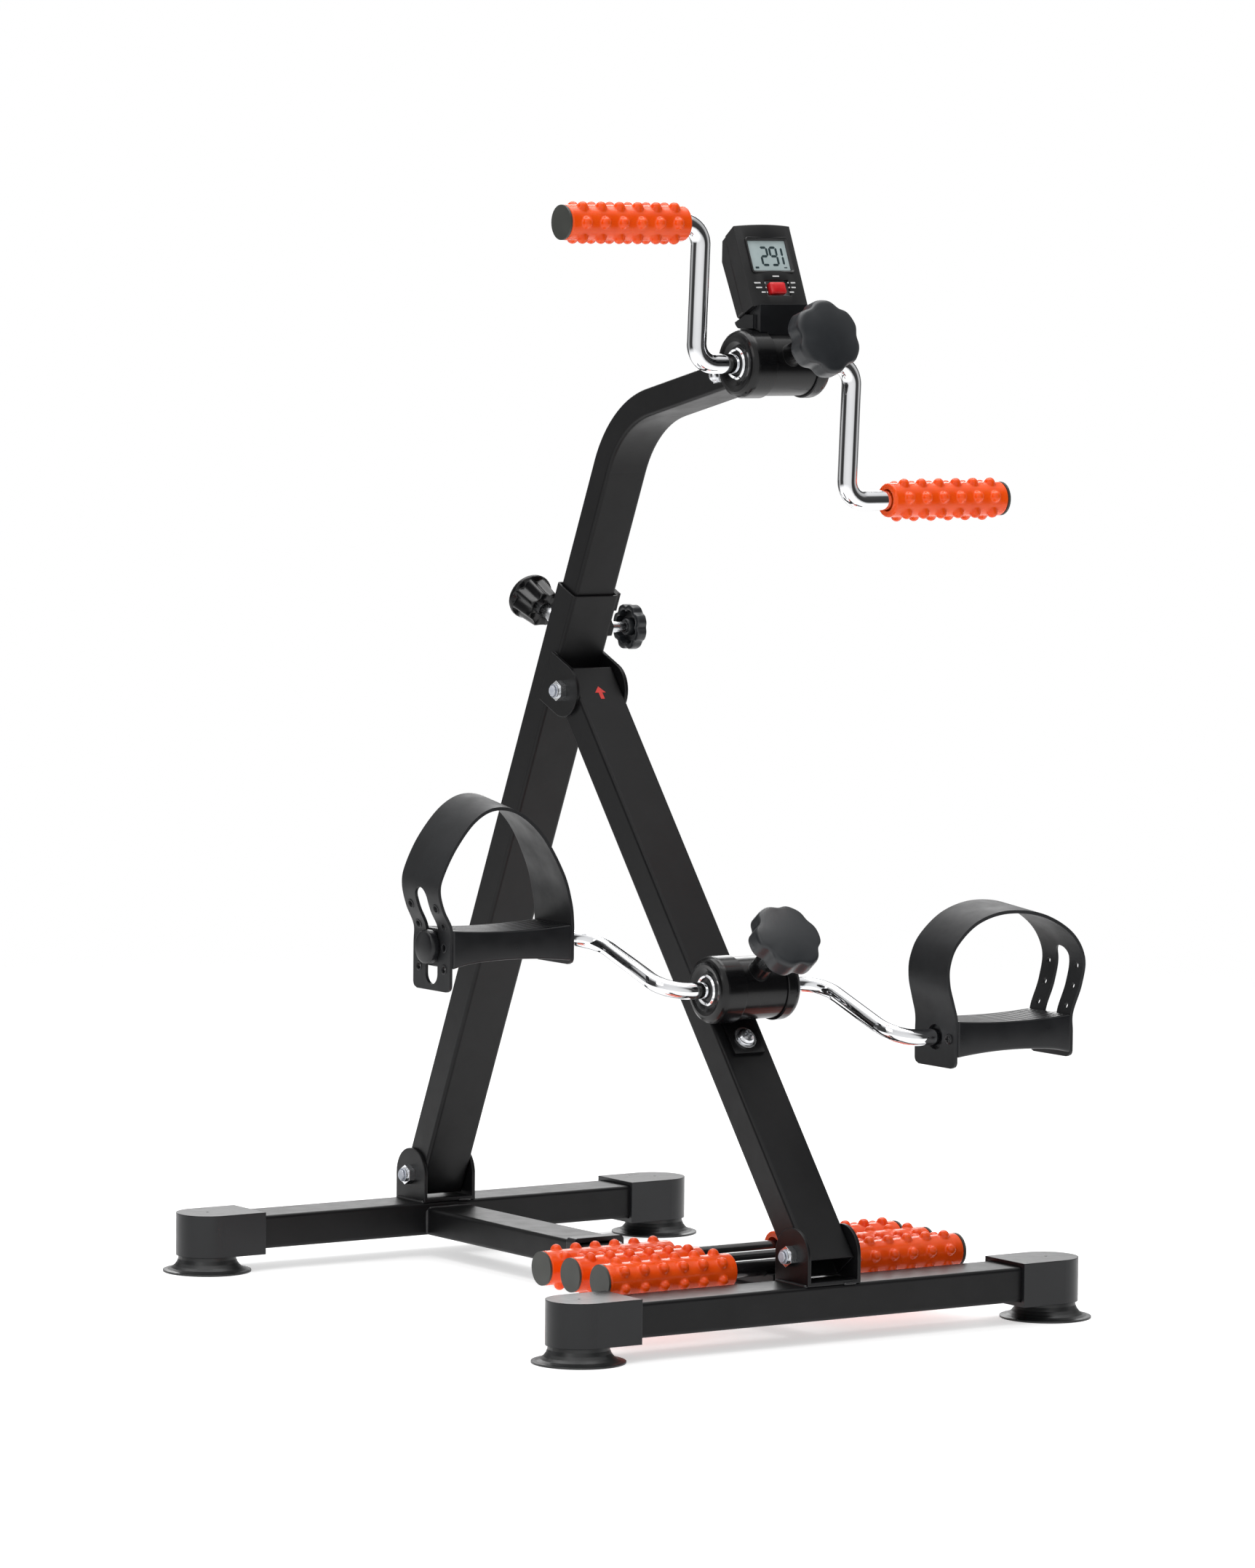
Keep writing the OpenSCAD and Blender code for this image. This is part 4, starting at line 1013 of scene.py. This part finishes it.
# ---------------------------------------------------------------- welds and small details

def bead(bm, a, b, r, seed, up=(0, 0, 1)):
    """Rippled weld bead from a to b."""
    a, b, up = Vector(a), Vector(b), Vector(up).normalized()
    d = (b - a).normalized()
    side = d.cross(up).normalized()
    up = side.cross(d)
    length = (b - a).length
    n = max(6, int(length / 0.8))
    loops = []
    for i in range(n + 1):
        t = i / n
        ripple = 1 + 0.16 * abs(math.sin(length * t * 1.5 + seed))
        ripple += 0.08 * math.sin(length * t * 0.37 + seed * 2)
        end = min(1.0, math.sqrt(max(0.0, 1 - (abs(2 * t - 1) ** (length / r * 0.8)))) + 0.05)
        q = r * ripple * end
        c = a.lerp(b, t)
        turns = [TAU * k / 12 for k in range(12)]
        loops.append(ring(bm, [c + side * q * math.cos(a) + up * q * 0.85 * math.sin(a) for a in turns]))
    for p, q in zip(loops, loops[1:]):
        bridge(bm, p, q)
    fan(bm, loops[0], a)
    fan(bm, loops[-1], b)


def welds():
    """Beads at the clevises, the base's T joints, the hinge ears and the foot unit's plate."""
    bar_top, ear_out, half = 41.0, 22.8, 20.0
    for body, y in (("rear_base", 250.0), ("front_base", -250.0)):
        bm = bmesh.new()
        for s in (-1, 1):
            bead(bm, (s * ear_out, y - half + 1, bar_top), (s * ear_out, y + half - 1, bar_top), 1.5, s + 2)
            bead(bm, (s * 8, y - s * half, bar_top), (s * 19, y - s * half, bar_top + 0.2), 1.1, s + 4)
        toward = -1 if y > 0 else 1
        face = y + toward * 20
        tube = 20.0 if y > 0 else 17.0
        z0, z1 = (16.0, 36.5) if y > 0 else (18.9, 33.6)
        for s in (-1, 1):
            bead(bm, (s * tube, face, z0 + 1), (s * tube, face, z1 - 1), 1.5, s + 6, (0, 1, 0))
        bead(bm, (-tube + 1, face, z1), (tube - 1, face, z1), 1.4, 9)
        finish_mesh(body + "_welds", bm, Matrix.Identity(4), "weld_paint", body, 60)
    bm = bmesh.new()
    hinge = 429.7
    for s in (-1, 1):
        bead(bm, (s * 20.4, -7, hinge - 18), (s * 20.4, -7, hinge + 18), 1.4, s + 3, (0, -1, 0))
    finish_mesh("hinge_welds", bm, UPRIGHT, "weld_paint", "upright", 60)


def nut_inserts():
    """Nylon rings and thread ends that show in the lock nuts."""
    profile = [(0, -1.8, 0), (3.4, -1.8, 0), (3.7, -1.5, 0), (3.8, 0.2, 0), (4.7, 0.3, 0), (4.9, -0.5, 0),
               (5.0, 1.2, 0), (0, 1.2, 0)]
    joints = {"rear_base": "frame_fold", "front_base": "base_fold", "upright": "strut_fold"}
    for body, joint in joints.items():
        bm = bmesh.new()
        revolve(bm, profile, 40)
        place = Matrix.Translation(pos(joint)) @ shift(x=-30.2) @ Matrix.Rotation(math.pi / 2, 4, "Y")
        finish_mesh(body + "_nut_insert", bm, place, "nut_insert", body, 40)


def fold_mark():
    """Small red arrow printed on the strut's front face, below the top hinge."""
    bm = bmesh.new()
    points = ((-1.6, -5.5), (1.6, -5.5), (1.6, 0), (4.6, 0), (0, 5.5), (-4.6, 0), (-1.6, 0))
    flat_prism(bm, [Vector(p) for p in points], 0.0, PRINT_T)
    finish_mesh("fold_arrow", bm, STRUT @ shift(y=-12.52, z=472), "red_print", "strut", 30)


# ---------------------------------------------------------------- stage

AZIMUTH = math.radians(-34.128)
ELEVATION = math.radians(4.48)
ROLL = math.radians(0.544)
TARGET = Vector((3.6, 0.0, 374.7)) * MM
DISTANCE = 5187.6 * MM
LENS = 163.15


def camera():
    data = bpy.data.cameras.new("camera")
    data.sensor_width = 36
    data.lens = LENS
    data.clip_end = 100
    cam = bpy.data.objects.new("camera", data)
    back = Vector((math.sin(AZIMUTH) * math.cos(ELEVATION), -math.cos(AZIMUTH) * math.cos(ELEVATION),
                   math.sin(ELEVATION)))
    right = Vector((math.cos(AZIMUTH), math.sin(AZIMUTH), 0))
    up = back.cross(right)
    right_rolled = right * math.cos(ROLL) + up * math.sin(ROLL)
    up_rolled = up * math.cos(ROLL) - right * math.sin(ROLL)
    m = Matrix((right_rolled, up_rolled, back)).transposed().to_4x4()
    m.translation = TARGET + back * DISTANCE
    cam.matrix_world = m
    bpy.context.scene.collection.objects.link(cam)
    bpy.context.scene.camera = cam


def area(name, location, size, power, target=(0, 0, 0.4)):
    data = bpy.data.lights.new(name, "AREA")
    data.shape = "RECTANGLE"
    data.size, data.size_y = size
    data.energy = power
    light = bpy.data.objects.new(name, data)
    light.location = location
    light.rotation_euler = (Vector(target) - Vector(location)).to_track_quat("-Z", "Y").to_euler()
    bpy.context.scene.collection.objects.link(light)


def paper_floor():
    """Pale disc that fades out, so no horizon shows."""
    bm = bmesh.new()
    bmesh.ops.create_circle(bm, cap_ends=True, segments=128, radius=3.0)
    mesh = bpy.data.meshes.new("floor")
    bm.to_mesh(mesh)
    bm.free()
    floor = bpy.data.objects.new("floor", mesh)
    bpy.context.scene.collection.objects.link(floor)
    paper = Look("floor_paper")
    paper.colours((0.6, 0.6, 0.6), (0.62, 0.62, 0.62), 3)
    paper.rough(0.7, 0.8, 5)
    paper.set(Specular_IOR_Level=0.1, Emission_Color=(1, 1, 1, 1), Emission_Strength=0.55)
    length = paper.node("ShaderNodeVectorMath", operation="LENGTH")
    paper.link(paper.coords, "Object", length, 0)
    fade = paper.node("ShaderNodeMapRange", interpolation_type="SMOOTHSTEP")
    fade.inputs["From Min"].default_value = 0.8
    fade.inputs["From Max"].default_value = 2.4
    fade.inputs["To Min"].default_value = 1.0
    fade.inputs["To Max"].default_value = 0.0
    paper.link(length, "Value", fade, "Value")
    paper.link(fade, "Result", paper.shader, "Alpha")
    mesh.materials.append(MATERIALS["floor_paper"])


def world_ramp(tree, source, output, stops):
    ramp = tree.nodes.new("ShaderNodeValToRGB")
    elements = ramp.color_ramp.elements
    while len(elements) < len(stops):
        elements.new(0.5)
    for element, (place, value) in zip(elements, stops):
        element.position = place
        element.color = (value, value, value, 1)
    tree.links.new(source.outputs[output], ramp.inputs["Fac"])
    return ramp


def studio_world():
    """White to the camera; to the object, a studio with dark and light bands round it and a bright top."""
    world = bpy.data.worlds.new("studio")
    bpy.context.scene.world = world
    world.use_nodes = True
    tree = world.node_tree
    coords = tree.nodes.new("ShaderNodeTexCoord")
    split = tree.nodes.new("ShaderNodeSeparateXYZ")
    tree.links.new(coords.outputs["Generated"], split.inputs[0])
    toward = tree.nodes.new("ShaderNodeVectorMath")
    toward.operation = "DOT_PRODUCT"
    toward.inputs[1].default_value = (math.sin(AZIMUTH), -math.cos(AZIMUTH), 0)
    tree.links.new(coords.outputs["Generated"], toward.inputs[0])
    centred = tree.nodes.new("ShaderNodeMath")
    centred.operation = "MULTIPLY_ADD"
    centred.inputs[1].default_value = 0.5
    centred.inputs[2].default_value = 0.5
    tree.links.new(toward.outputs["Value"], centred.inputs[0])
    bands = ((0.0, 0.3), (0.07, 0.35), (0.13, 0.06), (0.2, 0.08), (0.26, 0.6),
             (0.44, 0.42), (0.54, 0.05), (0.78, 0.04), (0.86, 0.75), (1.0, 0.9))
    around = world_ramp(tree, centred, 0, bands)
    height = world_ramp(tree, split, "Z", ((0.0, 0.0), (0.58, 0.02), (0.86, 1.0)))
    mix = tree.nodes.new("ShaderNodeMix")
    mix.data_type = "RGBA"
    mix.inputs["B"].default_value = (1.0, 1.0, 1.0, 1)
    tree.links.new(height.outputs["Color"], mix.inputs["Factor"])
    tree.links.new(around.outputs["Color"], mix.inputs["A"])
    shown = tree.nodes.new("ShaderNodeMix")
    shown.data_type = "RGBA"
    shown.inputs["B"].default_value = (1, 1, 1, 1)
    path = tree.nodes.new("ShaderNodeLightPath")
    tree.links.new(path.outputs["Is Camera Ray"], shown.inputs["Factor"])
    tree.links.new(mix.outputs["Result"], shown.inputs["A"])
    background = tree.nodes["Background"]
    tree.links.new(shown.outputs["Result"], background.inputs["Color"])
    background.inputs["Strength"].default_value = 1.0


def studio():
    paper_floor()
    studio_world()
    area("overhead", (0.2, 0.5, 3.4), (3.2, 3.2), 85)
    area("key", (-2.8, -1.0, 2.4), (1.2, 1.8), 14)
    area("rim", (1.6, 2.8, 1.8), (1.6, 1.6), 20)
    area("grazing", (-3.2 * math.sin(AZIMUTH), 3.2 * math.cos(AZIMUTH), 1.25), (2.6, 1.3), 13)
    scene = bpy.context.scene
    scene.view_settings.view_transform = "Standard"
    scene.view_settings.look = "None"


# ---------------------------------------------------------------- build

paint_looks()
moulded_looks()
metal_looks()
colour_looks()
dress_cad_nodes()
soften("display_front", 2.2)
soften("display_back", 2.0)
sleeves()
knobs()
pedals()
display()
welds()
nut_inserts()
fold_mark()
camera()
studio()
